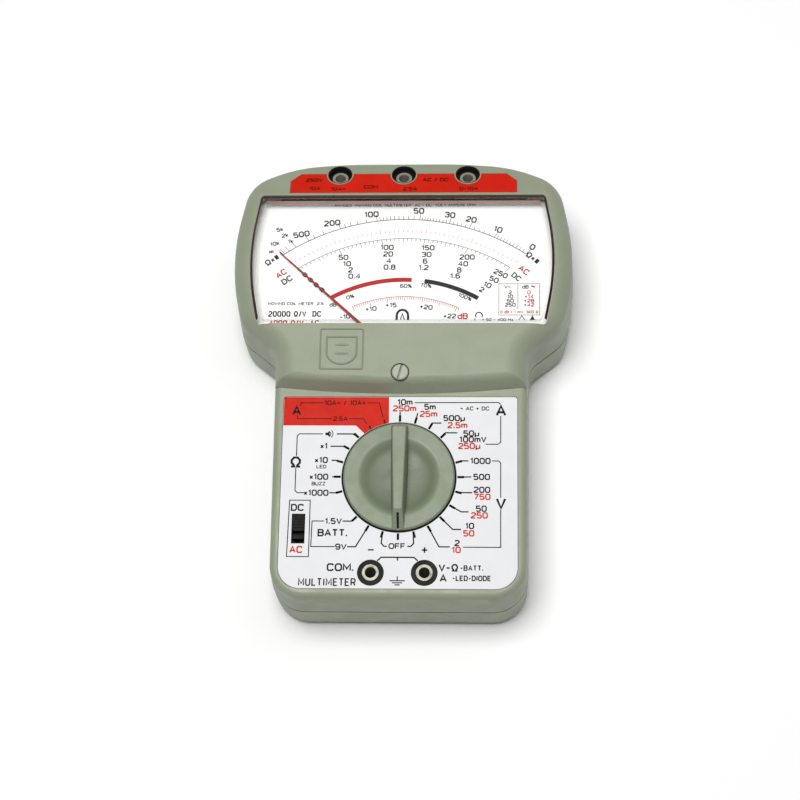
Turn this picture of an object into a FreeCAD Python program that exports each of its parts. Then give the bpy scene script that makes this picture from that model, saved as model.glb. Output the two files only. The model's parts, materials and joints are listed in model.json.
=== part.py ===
"""Analog multimeter, a hand-held moving-coil tester, as separate sub-parts in millimetres.

The origin is under the middle of the case on the surface it lies on. +X is to the right of someone reading
the dial, +Y points from the input sockets to the meter head, and +Z points out of the front panel.
"""

import FreeCAD
import Part
import math
import os

from FreeCAD import Vector

os.makedirs("parts", exist_ok=True)

# ---------------------------------------------------------------- driving dimensions
HALF_LENGTH = 85.2          # case, from the middle to each end
BODY_HALF_WIDTH = 46.9      # lower body at the parting line
HEAD_HALF_WIDTH = 64.0      # widest point of the meter head
FOOT_HEIGHT = 1.0           # rubber feet stand this far below the rear case
SEAM_Z = 20.0               # parting line between the two shells
PANEL_Z = 38.0              # front panel
PLATEAU_Z = 44.5            # raised bridge between the panel and the window
WINDOW_Z = 46.0             # top of the clear window
WALL = 2.4                  # shell wall
SEAM_GROOVE = 0.5           # depth and height of the step at the parting line
SKIN = 2.5                  # thickness of the panel and of the plateau
DRAFT = 1.0                 # how far the front shell's sides lean in up to the panel
EDGE_RADIUS = 2.4           # rounded edge of the lower body
HEAD_EDGE_RADIUS = 8.0      # rounded edge of the meter head

KNOB_Y = -40.0              # centre of the range selector
KNOB_RADIUS = 20.0
KNOB_HOLE_RADIUS = 20.6
RANGE_COUNT = 24            # switch positions, 15 degrees apart

PIVOT_Y = 4.3               # axis of the moving coil
DIAL_Z = 38.0               # printed face of the dial
DIAL_THICKNESS = 0.8
POINTER_Z = 39.6            # needle over the dial
HUB_Z = 36.4                # needle at the pivot, below the zero-adjust arm
POINTER_LENGTH = 62.7
POINTER_REST = 47.1         # degrees from +Y at zero, turned towards -X

ZERO_SCREW_Y = -2.3
ZERO_SCREW_RADIUS = 3.0
ZERO_PIN_OFFSET = 0.8
ZERO_SLOT_TURN = -15.0      # degrees, how the screwdriver slot is left standing

SOCKET_BORE = 2.0           # 4 mm test plug
SOCKET_PITCH = 19.0         # standard spacing of the two lower sockets
SOCKET_Y = -75.3
SOCKET_DEPTH = 22.0
TOP_SOCKET_PITCH = 24.0
TOP_SOCKET_Y = 77.9         # where the top sockets' axes meet the sloped end
TOP_SOCKET_Z = 41.2
TOP_SOCKET_TILT = 18.0      # degrees from +Z towards +Y

SLIDE_X = -35.6
SLIDE_Y = -59.3
SLIDE_SLOT = (4.8, 11.0)
SLIDE_TRAVEL = 4.2

BOARD_Z = (25.0, 26.6)      # circuit board, underside and top
WHEEL_AT = (-38.6, -30.0)   # ohm-adjust thumbwheel
WHEEL_RADIUS = 8.0
CELL_RADIUS = 7.1           # 1.5 V cell
CELL_LENGTH = 50.0
CELL_YS = (38.4, 53.6)
CELL_Z = 10.9
BAY = (29.2, 29.6, 62.4)    # battery bay: half length, and its lower and upper walls
BAY_WALL = 1.6
BAY_ROOF_Z = 15.5
DOOR_SCREW_Y = 66.4

# corner points of the case outline on the +X side, from the socket end to the head end: x, y, corner radius
OUTLINE = (
    (BODY_HALF_WIDTH - 0.6, -HALF_LENGTH, 13.0),
    (BODY_HALF_WIDTH, 7.3, 8.0),
    (60.1, 17.9, 11.0),
    (HEAD_HALF_WIDTH + 1.8, 43.4, 85.0),
    (59.1, 75.3, 15.0),
    (41.5, 83.0, 58.0),
    (0.0, HALF_LENGTH + 0.8, 307.0),
)
RAMP_FOOT_Y = -8.4          # ramp from the panel up to the plateau, on the middle line
RAMP_RADIUS = 420.0
RAMP_RUN = 3.1
RAMP_ROUND = 4.0            # rounding of the ramp's crest
SLOPE_START = 68.6          # the top slopes down from here to the head end
SLOPE_END_Z = 39.33
END_LEAN = 1.2              # how far the head's end face leans in up to the slope
# corner points of the window, from the lower edge's middle round to the top edge
WINDOW = ((52.9, 16.9, 1.6), (57.6, 41.5, 90.0), (52.9, 67.7, 1.6))
CASE_SCREWS = ((42.0, 74.6), (37.0, -75.0))
FEET = ((46.0, 48.0), (34.0, -58.0))
MOVEMENT_SCREWS = ((27.0, 10.5), (27.0, -3.5))


# ---------------------------------------------------------------- building blocks
def box(x0, x1, y0, y1, z0, z1):
    return Part.makeBox(x1 - x0, y1 - y0, z1 - z0, Vector(x0, y0, z0))


def centred_box(x, y, width, depth, z0, z1):
    return box(x - width / 2, x + width / 2, y - depth / 2, y + depth / 2, z0, z1)


def cylinder(x, y, z0, z1, radius):
    return Part.makeCylinder(radius, z1 - z0, Vector(x, y, z0))


def ring(x, y, z0, z1, outer, inner):
    return cylinder(x, y, z0, z1, outer).cut(cylinder(x, y, z0 - 1, z1 + 1, inner))


def fused(shapes):
    """One solid out of shapes that overlap or touch."""
    whole = shapes[0].multiFuse(shapes[1:]) if len(shapes) > 1 else shapes[0]
    return whole.removeSplitter()


def group(shapes):
    return Part.makeCompound(shapes)


def mirrored(points):
    """The points and their mirror images across the YZ plane."""
    return [(side * x, y) for x, y in points for side in (1, -1)]


def rounded_wire(corners, z=0.0):
    """Closed wire at height z through (x, y, radius) corners, each rounded by a tangent arc."""
    edges = []
    starts = []
    ends = []
    count = len(corners)
    for i, (x, y, radius) in enumerate(corners):
        here = Vector(x, y, z)
        back = Vector(*corners[i - 1][:2], z) - here
        ahead = Vector(*corners[(i + 1) % count][:2], z) - here
        back.normalize()
        ahead.normalize()
        half_turn = (math.pi - back.getAngle(ahead)) / 2
        reach = radius * math.tan(half_turn)
        start = here + back * reach
        end = here + ahead * reach
        starts.append(start)
        ends.append(end)
        if radius:
            middle = (back + ahead).normalize() * (radius * (1 / math.cos(half_turn) - 1))
            edges.append((i, Part.Arc(start, here + middle, end).toShape()))
    wire = []
    arcs = dict(edges)
    for i in range(count):
        if i in arcs:
            wire.append(arcs[i])
        following = starts[(i + 1) % count]
        if ends[i].distanceToPoint(following) > 1e-6:
            wire.append(Part.LineSegment(ends[i], following).toShape())
    return Part.Wire(wire)


def prism(corners, z0, z1):
    return Part.Face(rounded_wire(corners, z0)).extrude(Vector(0, 0, z1 - z0))


def rounded_box(x0, x1, y0, y1, z0, z1, radius):
    corners = [(x0, y0, radius), (x1, y0, radius), (x1, y1, radius), (x0, y1, radius)]
    return prism(corners, z0, z1)


def both_sides(half):
    """Closed corner list from the corners on the +X side; a corner on the YZ plane is kept once."""
    return list(half) + [(-x, y, radius) for x, y, radius in reversed(half) if x > 0]


def turned(profile, x=0.0, y=0.0):
    """Solid of revolution about the vertical through (x, y) from (radius, z) points."""
    points = [Vector(x + radius, y, z) for radius, z in profile]
    face = Part.Face(Part.makePolygon(points + points[:1]))
    return face.revolve(Vector(x, y, 0), Vector(0, 0, 1), 360)


def edges_at(shape, z, tolerance=0.02):
    """Edges that lie wholly at height z."""
    found = []
    for edge in shape.Edges:
        bounds = edge.BoundBox
        if abs(bounds.ZMin - z) < tolerance and abs(bounds.ZMax - z) < tolerance:
            found.append(edge)
    return found


def turned_about(shape, x, y, degrees):
    copy = shape.copy()
    copy.rotate(Vector(x, y, 0), Vector(0, 0, 1), degrees)
    return copy


def spiral(x, y, z, inner, outer, turns, width, thickness):
    """Flat spiral strip, as a hairspring."""
    steps = int(turns * 16)
    sides = []
    for offset in (-thickness / 2, thickness / 2):
        points = []
        for i in range(steps + 1):
            angle = 2 * math.pi * turns * i / steps
            radius = inner + (outer - inner) * i / steps + offset
            points.append(Vector(x + radius * math.cos(angle), y + radius * math.sin(angle), z))
        curve = Part.BSplineCurve()
        curve.interpolate(points)
        sides.append((curve.toShape(), points[0], points[-1]))
    near, far = sides
    closing = [Part.LineSegment(near[2], far[2]).toShape(), Part.LineSegment(far[1], near[1]).toShape()]
    wire = Part.Wire([near[0], closing[0], far[0], closing[1]])
    return Part.Face(wire).extrude(Vector(0, 0, width))


def coil_form(x, y, z, length, turns, radius, end_radius, wire):
    """Coil spring along X, as a turned zigzag: each fold stands for one turn of wire."""
    outer = []
    for i in range(2 * turns + 1):
        share = i / (2 * turns)
        fold = wire if i % 2 else 0.0
        outer.append((x + length * share, radius + (end_radius - radius) * share - fold))
    inner = [(along_x, reach - wire) for along_x, reach in reversed(outer)]
    points = [Vector(along_x, y, z + reach) for along_x, reach in outer + inner]
    face = Part.Face(Part.makePolygon(points + points[:1]))
    return face.revolve(Vector(x, y, z), Vector(1, 0, 0), 360)


# ---------------------------------------------------------------- case forms
def inset_outline(inset, z):
    wire = rounded_wire(both_sides(OUTLINE), z)
    return wire.makeOffset2D(-inset) if inset else wire


def drafted(inset, z0, z1, draft):
    """Case outline from z0 up to z1, leaning in by draft."""
    return Part.makeLoft([inset_outline(inset, z0), inset_outline(inset + draft, z1)], True, True)


def side_profile(drop):
    """Solid as wide as the case whose side view is the meter head's: flat top, slope and rounded end."""
    top = PLATEAU_Z - drop
    end = HALF_LENGTH - drop
    corners = (
        (-30.0, 0.0, 0.0),
        (-30.0, top, 0.0),
        (SLOPE_START, top, 3.0),
        (end - END_LEAN, SLOPE_END_Z - drop, 4.5),
        (end + 1.0, 12.0, 0.0),
        (end + 1.0, 0.0, 0.0),
    )
    flat = rounded_wire(corners)
    flat.rotate(Vector(0, 0, 0), Vector(1, 1, 1), 120)
    form = Part.Face(flat).extrude(Vector(2 * HEAD_HALF_WIDTH + 20, 0, 0))
    form.translate(Vector(-HEAD_HALF_WIDTH - 10, 0, 0))
    return form


def ramp_form(drop):
    """Everything behind the ramp that rises from the panel to the plateau; its foot bows towards the knob."""
    foot = RAMP_RADIUS - drop * 0.9
    crest = RAMP_RADIUS - RAMP_RUN - drop * 0.3
    above = PLATEAU_Z - drop + 1.4
    corners = [(0, 0, 0), (foot, 0, 0), (foot, PANEL_Z - drop, 0), (crest, above - 1.7, RAMP_ROUND - drop * 0.72),
               (crest - 8.0, above, 0), (0, above, 0)]
    profile = rounded_wire(corners)
    profile.rotate(Vector(0, 0, 0), Vector(1, 0, 0), 90)
    form = Part.Face(profile).revolve(Vector(0, 0, 0), Vector(0, 0, 1), 360)
    form.translate(Vector(0, RAMP_FOOT_Y + RAMP_RADIUS, 0))
    return form


def front_form(inset, drop):
    """Front shell's solid form, pushed inwards by inset at the sides and lowered by drop at the top."""
    panel = PANEL_Z - drop
    plateau = PLATEAU_Z - drop
    body = drafted(inset, SEAM_Z, panel, DRAFT)
    body = body.makeFillet(max(EDGE_RADIUS - drop * 0.8, 0.5), edges_at(body, panel))
    head = drafted(inset, SEAM_Z, plateau, DRAFT * (plateau - SEAM_Z) / (panel - SEAM_Z))
    head = head.makeFillet(HEAD_EDGE_RADIUS - drop, edges_at(head, plateau))
    head = head.common(side_profile(drop)).common(ramp_form(drop))
    behind_foot = cylinder(0, RAMP_FOOT_Y + RAMP_RADIUS, 0, 60, RAMP_RADIUS - drop * 0.9)
    return fused([body.cut(behind_foot), head])


def window_corners(grow):
    half = [(x + grow, y + grow * step, radius + max(grow, 0))
            for (x, y, radius), step in zip(WINDOW, (-1, 0, 1))]
    return both_sides(half)


def socket_axes():
    """Mouth point and outward direction of each socket: two lower, then three at the head end."""
    tilt = math.radians(TOP_SOCKET_TILT)
    lean = Vector(0, math.sin(tilt), math.cos(tilt))
    lower = [(Vector(side * SOCKET_PITCH / 2, SOCKET_Y, PANEL_Z), Vector(0, 0, 1)) for side in (-1, 1)]
    upper = [(Vector(i * TOP_SOCKET_PITCH, TOP_SOCKET_Y, TOP_SOCKET_Z), lean) for i in (-1, 0, 1)]
    return lower + upper


def along(axis, outward, start, end, radius):
    """Cylinder on a socket's axis, between two distances out of its mouth."""
    return Part.makeCylinder(radius, end - start, axis + outward * start, outward)


# ---------------------------------------------------------------- case
WELL_RADIUS = 4.6
SOCKET_HOLE_RADIUS = 4.75
TOP_WELL_DEPTH = 2.2
WELL_RIM = 0.4              # green rim left standing round each well in the red strip
BOSS_RADIUS = 3.1
THREAD_RADIUS = 1.25
LABEL_DEPTH = 0.4
LABEL_GAP = 0.15
LABEL = ((42.4, -81.1, 8.0), (42.4, -9.6, 1.2))
SLOPE = math.degrees(math.atan2(PLATEAU_Z - SLOPE_END_Z, HALF_LENGTH - END_LEAN - SLOPE_START))
STRIP = (42.4, 0.6, 10.2)   # red strip at the head end: half width, start and end down the slope


def strip_form(grow, thickness):
    """Thin plate lying on the slope at the head end, with its two outer corners cut off."""
    half, start, end = STRIP
    corners = [(half + grow, start - grow, 0.0), (half + grow, end - 3.6, 0.0),
               (half - 4.0 + grow, end + grow, 0.0)]
    plate = prism(both_sides(corners), -thickness, 0.0)
    plate.rotate(Vector(0, 0, 0), Vector(1, 0, 0), -SLOPE)
    plate.translate(Vector(0, SLOPE_START, PLATEAU_Z))
    return plate


def well_columns(radius):
    """Cylinders through the red strip on the axes of the three upper sockets."""
    return group([along(mouth, outward, -9, 12, radius) for mouth, outward in socket_axes()[2:]])


def label_form(grow, z0, z1):
    half = [(x + grow, y + (grow if y > KNOB_Y else -grow), radius) for x, y, radius in LABEL]
    return prism(both_sides(half), z0, z1)


def front_case():
    form = front_form(0.0, 0.0)
    cavity = front_form(WALL, SKIN)
    under = cavity.copy()
    under.translate(Vector(0, 0, -0.5))
    shell = form.cut(cavity).cut(under)

    bosses = [cylinder(x, y, SEAM_Z, PLATEAU_Z - 1, BOSS_RADIUS) for x, y in mirrored(CASE_SCREWS)]
    bosses += [cylinder(x, y, 21.5, PLATEAU_Z - 1, 3.0) for x, y in mirrored(MOVEMENT_SCREWS)]
    collars = []
    for mouth, outward in socket_axes()[:2]:
        collars.append(along(mouth, outward, -7.0, -0.6, SOCKET_HOLE_RADIUS + 1.4))
    for mouth, outward in socket_axes()[2:]:
        collars.append(along(mouth, outward, -9.0, 0.0, WELL_RADIUS + 1.6))
    zero_collar = cylinder(0, ZERO_SCREW_Y, PLATEAU_Z - SKIN - 1.0, PLATEAU_Z - 0.6, ZERO_SCREW_RADIUS + 1.4)
    inside = [piece.common(form) for piece in bosses + collars + [zero_collar]]
    shell = fused([shell] + inside)

    cuts = [prism(window_corners(0.15), 25.0, 60.0)]
    cuts.append(cylinder(0, KNOB_Y, 25.0, 60.0, KNOB_HOLE_RADIUS))
    for mouth, outward in socket_axes()[:2]:
        cuts.append(along(mouth, outward, -20.0, 10.0, SOCKET_HOLE_RADIUS))
    for mouth, outward in socket_axes()[2:]:
        cuts.append(along(mouth, outward, -20.0, 12.0, WELL_RADIUS))
    cuts.append(cylinder(0, ZERO_SCREW_Y, 30.0, 60.0, ZERO_SCREW_RADIUS + 0.06))
    slot_width, slot_length = SLIDE_SLOT
    cuts.append(centred_box(SLIDE_X, SLIDE_Y, slot_width, slot_length, 30.0, 60.0))
    cuts.append(label_form(LABEL_GAP, PANEL_Z - LABEL_DEPTH, 60.0))
    cuts.append(strip_form(LABEL_GAP, 0.35).cut(well_columns(WELL_RADIUS + WELL_RIM)))
    cuts += [cylinder(x, y, SEAM_Z - 1, SEAM_Z + 12, THREAD_RADIUS) for x, y in mirrored(CASE_SCREWS)]
    cuts += [cylinder(x, y, 20.0, 31.0, THREAD_RADIUS) for x, y in mirrored(MOVEMENT_SCREWS)]
    wheel_x, wheel_y = WHEEL_AT
    cuts.append(cylinder(wheel_x, wheel_y, SEAM_Z - 1, 23.0, WHEEL_RADIUS + 0.8))
    return shell.cut(fused(cuts))


def rear_case():
    outer = prism(both_sides(OUTLINE), FOOT_HEIGHT, SEAM_Z)
    outer = outer.makeFillet(3.6, edges_at(outer, FOOT_HEIGHT))
    floor_z = FOOT_HEIGHT + WALL
    inner = Part.Face(inset_outline(WALL, floor_z)).extrude(Vector(0, 0, 30))
    shell = outer.cut(inner.makeFillet(1.6, edges_at(inner, floor_z)))

    bay_half, bay_low, bay_high = BAY
    tub = box(-bay_half - BAY_WALL, bay_half + BAY_WALL, bay_low - BAY_WALL, bay_high + BAY_WALL,
              FOOT_HEIGHT, BAY_ROOF_Z)
    posts = [cylinder(x, y, FOOT_HEIGHT + 0.5, SEAM_Z, BOSS_RADIUS + 0.9) for x, y in mirrored(CASE_SCREWS)]
    door_boss = cylinder(0, DOOR_SCREW_Y, FOOT_HEIGHT + 0.5, 12.0, 3.4)
    foot_pads = [cylinder(x, y, FOOT_HEIGHT + 0.4, floor_z + 0.8, 6.4) for x, y in mirrored(FEET)]
    shell = fused([shell, tub] + [piece.common(outer) for piece in posts + [door_boss] + foot_pads])

    cuts = [box(-bay_half, bay_half, bay_low, bay_high, -1.0, 30.0)]
    cuts.append(rounded_box(-31.5, 31.5, 27.4, 71.2, -1.0, FOOT_HEIGHT + 1.6, 3.0))
    cuts += [cylinder(x, y, -1, 30, 1.6) for x, y in mirrored(CASE_SCREWS)]
    cuts += [cylinder(x, y, -1, 9.0, 2.9) for x, y in mirrored(CASE_SCREWS)]
    cuts += [cylinder(x, y, -1, FOOT_HEIGHT + 1.0, 5.1) for x, y in mirrored(FEET)]
    cuts.append(cylinder(0, DOOR_SCREW_Y, -1, 10.0, THREAD_RADIUS + 0.1))
    return shell.cut(fused(cuts)).cut(seam_groove())


def seam_groove():
    """Narrow step all round the rear shell's upper edge, which shows as the parting line."""
    wide = Part.Face(inset_outline(-1.0, SEAM_Z - SEAM_GROOVE)).extrude(Vector(0, 0, SEAM_GROOVE + 1))
    narrow = Part.Face(inset_outline(SEAM_GROOVE, SEAM_Z - SEAM_GROOVE)).extrude(Vector(0, 0, SEAM_GROOVE + 1))
    return wide.cut(narrow)


def meter_window():
    """Clear cover: a crowned plate whose side walls run down to the dial."""
    block = prism(window_corners(0.0), POINTER_Z + 0.8, WINDOW_Z)
    block = block.makeChamfer(0.9, edges_at(block, WINDOW_Z))
    hollow = prism(window_corners(-1.6), 30.0, WINDOW_Z - 2.2)
    pointer_gap = box(-60, 60, 10, 20, 30, 41.0)
    flange = prism(window_corners(1.1), PLATEAU_Z - SKIN - 1.3, PLATEAU_Z - SKIN - 0.15)
    flange = flange.common(box(-46.0, 46.0, 0, 100, 0, 60))
    return fused([block, flange]).cut(fused([hollow, pointer_gap]))


def dial_plate():
    """White printed plate, wider than the window so that its edges stay hidden."""
    plate = prism(window_corners(0.7), DIAL_Z - DIAL_THICKNESS, DIAL_Z)
    return plate.cut(box(-80, 80, 0, 17.8, 0, 60))


def rubber_foot(x, y):
    return turned([(0, 0.0), (4.3, 0.0), (5.0, 0.7), (5.0, 2.0), (0, 2.0)], x, y)


def battery_door():
    thickness = 1.4
    plate = rounded_box(-31.2, 31.2, 27.7, 70.9, FOOT_HEIGHT, FOOT_HEIGHT + thickness, 2.7)
    grooves = [box(-14, 14, 32.0 + 2.4 * i, 33.2 + 2.4 * i, 0, FOOT_HEIGHT + 0.5) for i in range(5)]
    seat = cylinder(0, DOOR_SCREW_Y, 0, FOOT_HEIGHT + 1.0, 2.5)
    return plate.cut(group(grooves)).cut(fused([seat, cylinder(0, DOOR_SCREW_Y, 0, 10, 1.5)]))


def pan_screw(x, y, head_z, length, head_radius=2.6, head_height=1.8):
    """Screw driven upwards from the back, with a cross slot in its head."""
    head = cylinder(x, y, head_z, head_z + head_height, head_radius)
    cross = fused([centred_box(x, y, 3.0, 0.7, head_z - 1, head_z + head_height / 2),
                   centred_box(x, y, 0.7, 3.0, head_z - 1, head_z + head_height / 2)])
    shank = cylinder(x, y, head_z + head_height * 0.6, head_z + length, THREAD_RADIUS)
    return fused([head.cut(cross), shank])


# ---------------------------------------------------------------- sockets
SLEEVE_RADIUS = 3.9
CONTACT_RADIUS = 2.95


def socket_insulator(mouth, outward, is_top):
    """Black moulded sleeve with a shoulder under the panel; at the head end it also lines the well."""
    front = -TOP_WELL_DEPTH if is_top else 0.05
    outer = WELL_RADIUS - 0.05 if is_top else SOCKET_HOLE_RADIUS - 0.05
    rim = -0.1 if is_top else front
    sleeve = along(mouth, outward, -SOCKET_DEPTH, front, SLEEVE_RADIUS)
    collar = along(mouth, outward, front - 5.0, rim, outer)
    ring_seat = along(mouth, outward, -SOCKET_DEPTH - 1, front + 1, CONTACT_RADIUS + 0.05)
    well = along(mouth, outward, front, 1.0, SLEEVE_RADIUS + 0.1)
    return fused([sleeve, collar]).cut(fused([ring_seat, well]))


def socket_contact(mouth, outward, is_top):
    """Nickel-plated tube for a 4 mm plug, closed at the inner end, with a solder tail."""
    front = -TOP_WELL_DEPTH if is_top else 0.05
    tube = along(mouth, outward, -SOCKET_DEPTH, front + 0.25, CONTACT_RADIUS)
    tail = along(mouth, outward, -SOCKET_DEPTH - 3.0, -SOCKET_DEPTH, 1.0)
    bore = along(mouth, outward, -SOCKET_DEPTH + 2.0, front + 1, SOCKET_BORE)
    return fused([tube, tail]).cut(bore)


def socket_nuts():
    nuts = []
    for number, (mouth, outward) in enumerate(socket_axes()):
        face = -7.1 if number < 2 else -9.1
        blank = along(mouth, outward, face - 2.4, face, 5.4)
        nuts.append(blank.cut(along(mouth, outward, face - 3.0, face + 1.0, SLEEVE_RADIUS + 0.05)))
    return group(nuts)


# ---------------------------------------------------------------- range selector
RIM_Z = PANEL_Z + 1.3
ROTOR_TOP_Z = 35.2
NOTCH_RADIUS = 1.1


BOWL_RADIUS = 15.2          # where the knob's flat rim starts to roll into the bowl
BOWL_DEPTH = 3.0
GRIP_TOP_Z = PANEL_Z + 6.2
GRIP_FOOT_Z = ROTOR_TOP_Z + 0.8


def knob_disc():
    """Disc with a flat rim and a smooth bowl inside it."""
    floor_z = RIM_Z - BOWL_DEPTH
    curve = Part.BSplineCurve()
    curve.interpolate([Vector(BOWL_RADIUS, KNOB_Y, RIM_Z), Vector(13.4, KNOB_Y, RIM_Z - 0.65),
                       Vector(11.0, KNOB_Y, RIM_Z - 2.0), Vector(7.5, KNOB_Y, RIM_Z - 2.8),
                       Vector(0, KNOB_Y, floor_z)],
                      InitialTangent=Vector(-1, 0, 0), FinalTangent=Vector(-1, 0, 0))
    corners = [Vector(radius, KNOB_Y, z) for radius, z in (
        (0, floor_z), (0, ROTOR_TOP_Z), (KNOB_RADIUS - 0.3, ROTOR_TOP_Z), (KNOB_RADIUS, ROTOR_TOP_Z + 0.3),
        (KNOB_RADIUS, RIM_Z - 0.6), (KNOB_RADIUS - 0.6, RIM_Z), (BOWL_RADIUS, RIM_Z))]
    wire = Part.Wire([Part.makePolygon(corners), curve.toShape()])
    return Part.Face(wire).revolve(Vector(0, KNOB_Y, 0), Vector(0, 0, 1), 360)


def selector_knob():
    """Disc with a tapering grip bar right across it; a groove at the bar's narrow end points at the range."""
    foot = [(-3.5, 21.2, 1.2), (3.5, 21.2, 1.2), (2.6, -24.2, 1.0), (-2.6, -24.2, 1.0)]
    top = [(-2.6, 17.3, 1.2), (2.6, 17.3, 1.2), (1.6, -13.4, 1.0), (-1.6, -13.4, 1.0)]
    layers = [rounded_wire([(x, y + KNOB_Y, r) for x, y, r in foot], GRIP_FOOT_Z),
              rounded_wire([(x, y + KNOB_Y, r) for x, y, r in top], GRIP_TOP_Z)]
    bar = Part.makeLoft(layers, True, True)
    bar = bar.makeFillet(0.55, edges_at(bar, GRIP_TOP_Z))
    bar = bar.common(cylinder(0, KNOB_Y, 30, 60, KNOB_RADIUS - 0.05))
    knob = fused([knob_disc(), bar])
    groove = box(-0.45, 0.45, KNOB_Y - 25, KNOB_Y - 14.6, RIM_Z - 0.35, 60)
    return knob.cut(groove).cut(cylinder(0, KNOB_Y, 30, RIM_Z - 2.0, 1.5))


def range_rotor():
    disc = turned([(0, 31.2), (7.0, 31.2), (7.0, 32.6), (21.5, 32.6), (21.5, 33.4), (23.0, 33.4),
                   (23.0, ROTOR_TOP_Z), (0, ROTOR_TOP_Z)], 0, KNOB_Y)
    notches = []
    for i in range(RANGE_COUNT):
        angle = 2 * math.pi * i / RANGE_COUNT
        reach = 23.0 + NOTCH_RADIUS - 0.5
        notches.append(cylinder(reach * math.cos(angle), KNOB_Y + reach * math.sin(angle),
                                30, 40, NOTCH_RADIUS))
    return disc.cut(group(notches)).cut(cylinder(0, KNOB_Y, 30, 40, 1.5))


def rotor_screw():
    head = cylinder(0, KNOB_Y, 29.6, 31.2, 2.8)
    slot = centred_box(0, KNOB_Y, 4.4, 0.7, 29.0, 30.2)
    return fused([head.cut(slot), cylinder(0, KNOB_Y, 31.0, 37.2, 1.5)])


def wipers():
    """Three springy contact bridges under the rotor."""
    bridges = []
    for i in range(3):
        arm = centred_box(14.5, KNOB_Y, 9.0, 2.2, 31.9, 32.6)
        legs = [centred_box(x, KNOB_Y, 0.8, 2.2, 27.4, 32.1) for x in (11.0, 18.0)]
        shoes = [cylinder(x, KNOB_Y, 27.1, 27.8, 0.9) for x in (11.0, 18.0)]
        bridges.append(turned_about(fused([arm] + legs + shoes), 0, KNOB_Y, 120 * i + 90))
    return group(bridges)


BALL_RADIUS = 1.5
BALL_REACH = 23.0 + BALL_RADIUS + 0.08
BALL_Z = 33.9


def on_both_sides(shape):
    """The shape to the right of the selector, and the same one turned to its left."""
    return group([shape, turned_about(shape, 0, KNOB_Y, 180)])


def detent_balls():
    return on_both_sides(Part.makeSphere(BALL_RADIUS, Vector(BALL_REACH, KNOB_Y, BALL_Z)))


def detent_housings():
    block = box(25.0, 33.0, KNOB_Y - 3, KNOB_Y + 3, 31.8, PANEL_Z - SKIN)
    bore = Part.makeCylinder(BALL_RADIUS + 0.05, 7.0, Vector(24.0, KNOB_Y, BALL_Z), Vector(1, 0, 0))
    return on_both_sides(block.cut(bore))


def detent_springs():
    start = BALL_REACH + BALL_RADIUS + 0.02
    return on_both_sides(coil_form(start, KNOB_Y, BALL_Z, 31.0 - start, 5, 1.2, 1.2, 0.3))


# ---------------------------------------------------------------- slide switch
SLIDE_TOP = SLIDE_Y + SLIDE_TRAVEL / 2


def slide_button():
    width = SLIDE_SLOT[0] - 0.6
    length = SLIDE_SLOT[1] - SLIDE_TRAVEL - 0.6
    cap = centred_box(SLIDE_X, SLIDE_TOP, width, length, 34.9, PANEL_Z + 0.7)
    ribs = [centred_box(SLIDE_X, SLIDE_TOP + offset, width, 0.5, PANEL_Z + 0.35, PANEL_Z + 2)
            for offset in (-2.1, -1.05, 0.0, 1.05, 2.1)]
    flange = centred_box(SLIDE_X, SLIDE_TOP, width + 2.6, length + 4.0, 33.9, 35.1)
    stem = centred_box(SLIDE_X, SLIDE_TOP, 2.4, 2.4, 31.4, 34.0)
    return fused([cap.cut(group(ribs)), flange, stem])


def slide_switch_body():
    shell = centred_box(SLIDE_X, SLIDE_Y, 7.6, 15.0, BOARD_Z[1], 33.4)
    channel = centred_box(SLIDE_X, SLIDE_Y, 5.4, 12.6, 28.6, 33.0)
    window = centred_box(SLIDE_X, SLIDE_Y, 3.2, 2.4 + SLIDE_TRAVEL + 1.0, 32.0, 34.0)
    return shell.cut(fused([channel, window]))


def slide_contact():
    carrier = centred_box(SLIDE_X, SLIDE_TOP, 4.4, 6.0, 29.6, 31.4)
    springs = [centred_box(SLIDE_X + dx, SLIDE_TOP, 0.6, 4.6, 29.0, 29.7) for dx in (-1.6, 1.6)]
    return fused([carrier] + springs)


# ---------------------------------------------------------------- moving-coil movement
CORE_RADIUS = 9.0
YOKE_INNER = 12.2
YOKE_OUTER = 16.0
YOKE_Z = (20.5, 31.0)
CORE_Z = (21.8, 29.8)


def yoke_ring():
    return ring(0, PIVOT_Y, *YOKE_Z, YOKE_OUTER, YOKE_INNER)


def core_magnet():
    return cylinder(0, PIVOT_Y, *CORE_Z, CORE_RADIUS)


def core_bridges():
    """Two brass bars that hold the core in the middle of the yoke, clear of the coil's travel."""
    bars = [centred_box(0, PIVOT_Y + side * (CORE_RADIUS + YOKE_INNER) / 2, 4.0,
                        YOKE_INNER - CORE_RADIUS + 0.6, 23.6, 28.0) for side in (-1, 1)]
    barrier = group([yoke_ring(), core_magnet()])
    return group([bar.cut(barrier) for bar in bars])


def moving_coil():
    outer = centred_box(0, PIVOT_Y, 22.6, 4.0, 20.6, 31.0)
    inner = centred_box(0, PIVOT_Y, 19.6, 6.0, 21.3, 30.3)
    rim = ring(0, PIVOT_Y, 20.0, 32.0, 11.6, 9.5)
    middle = cylinder(0, PIVOT_Y, 20.0, 32.0, 9.6)
    coil = outer.cut(inner).common(fused([rim, middle]))
    return turned_about(coil, 0, PIVOT_Y, POINTER_REST)


def coil_staff():
    upper = turned([(0, 31.0), (1.6, 31.0), (1.6, 31.8), (0.6, 31.8), (0.6, 37.6), (0.25, 38.6), (0, 38.6)],
                   0, PIVOT_Y)
    lower = turned([(0, 20.6), (1.6, 20.6), (1.6, 20.0), (0.6, 20.0), (0.6, 18.8), (0.25, 17.8), (0, 17.8)],
                   0, PIVOT_Y)
    return group([upper, lower])


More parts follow.
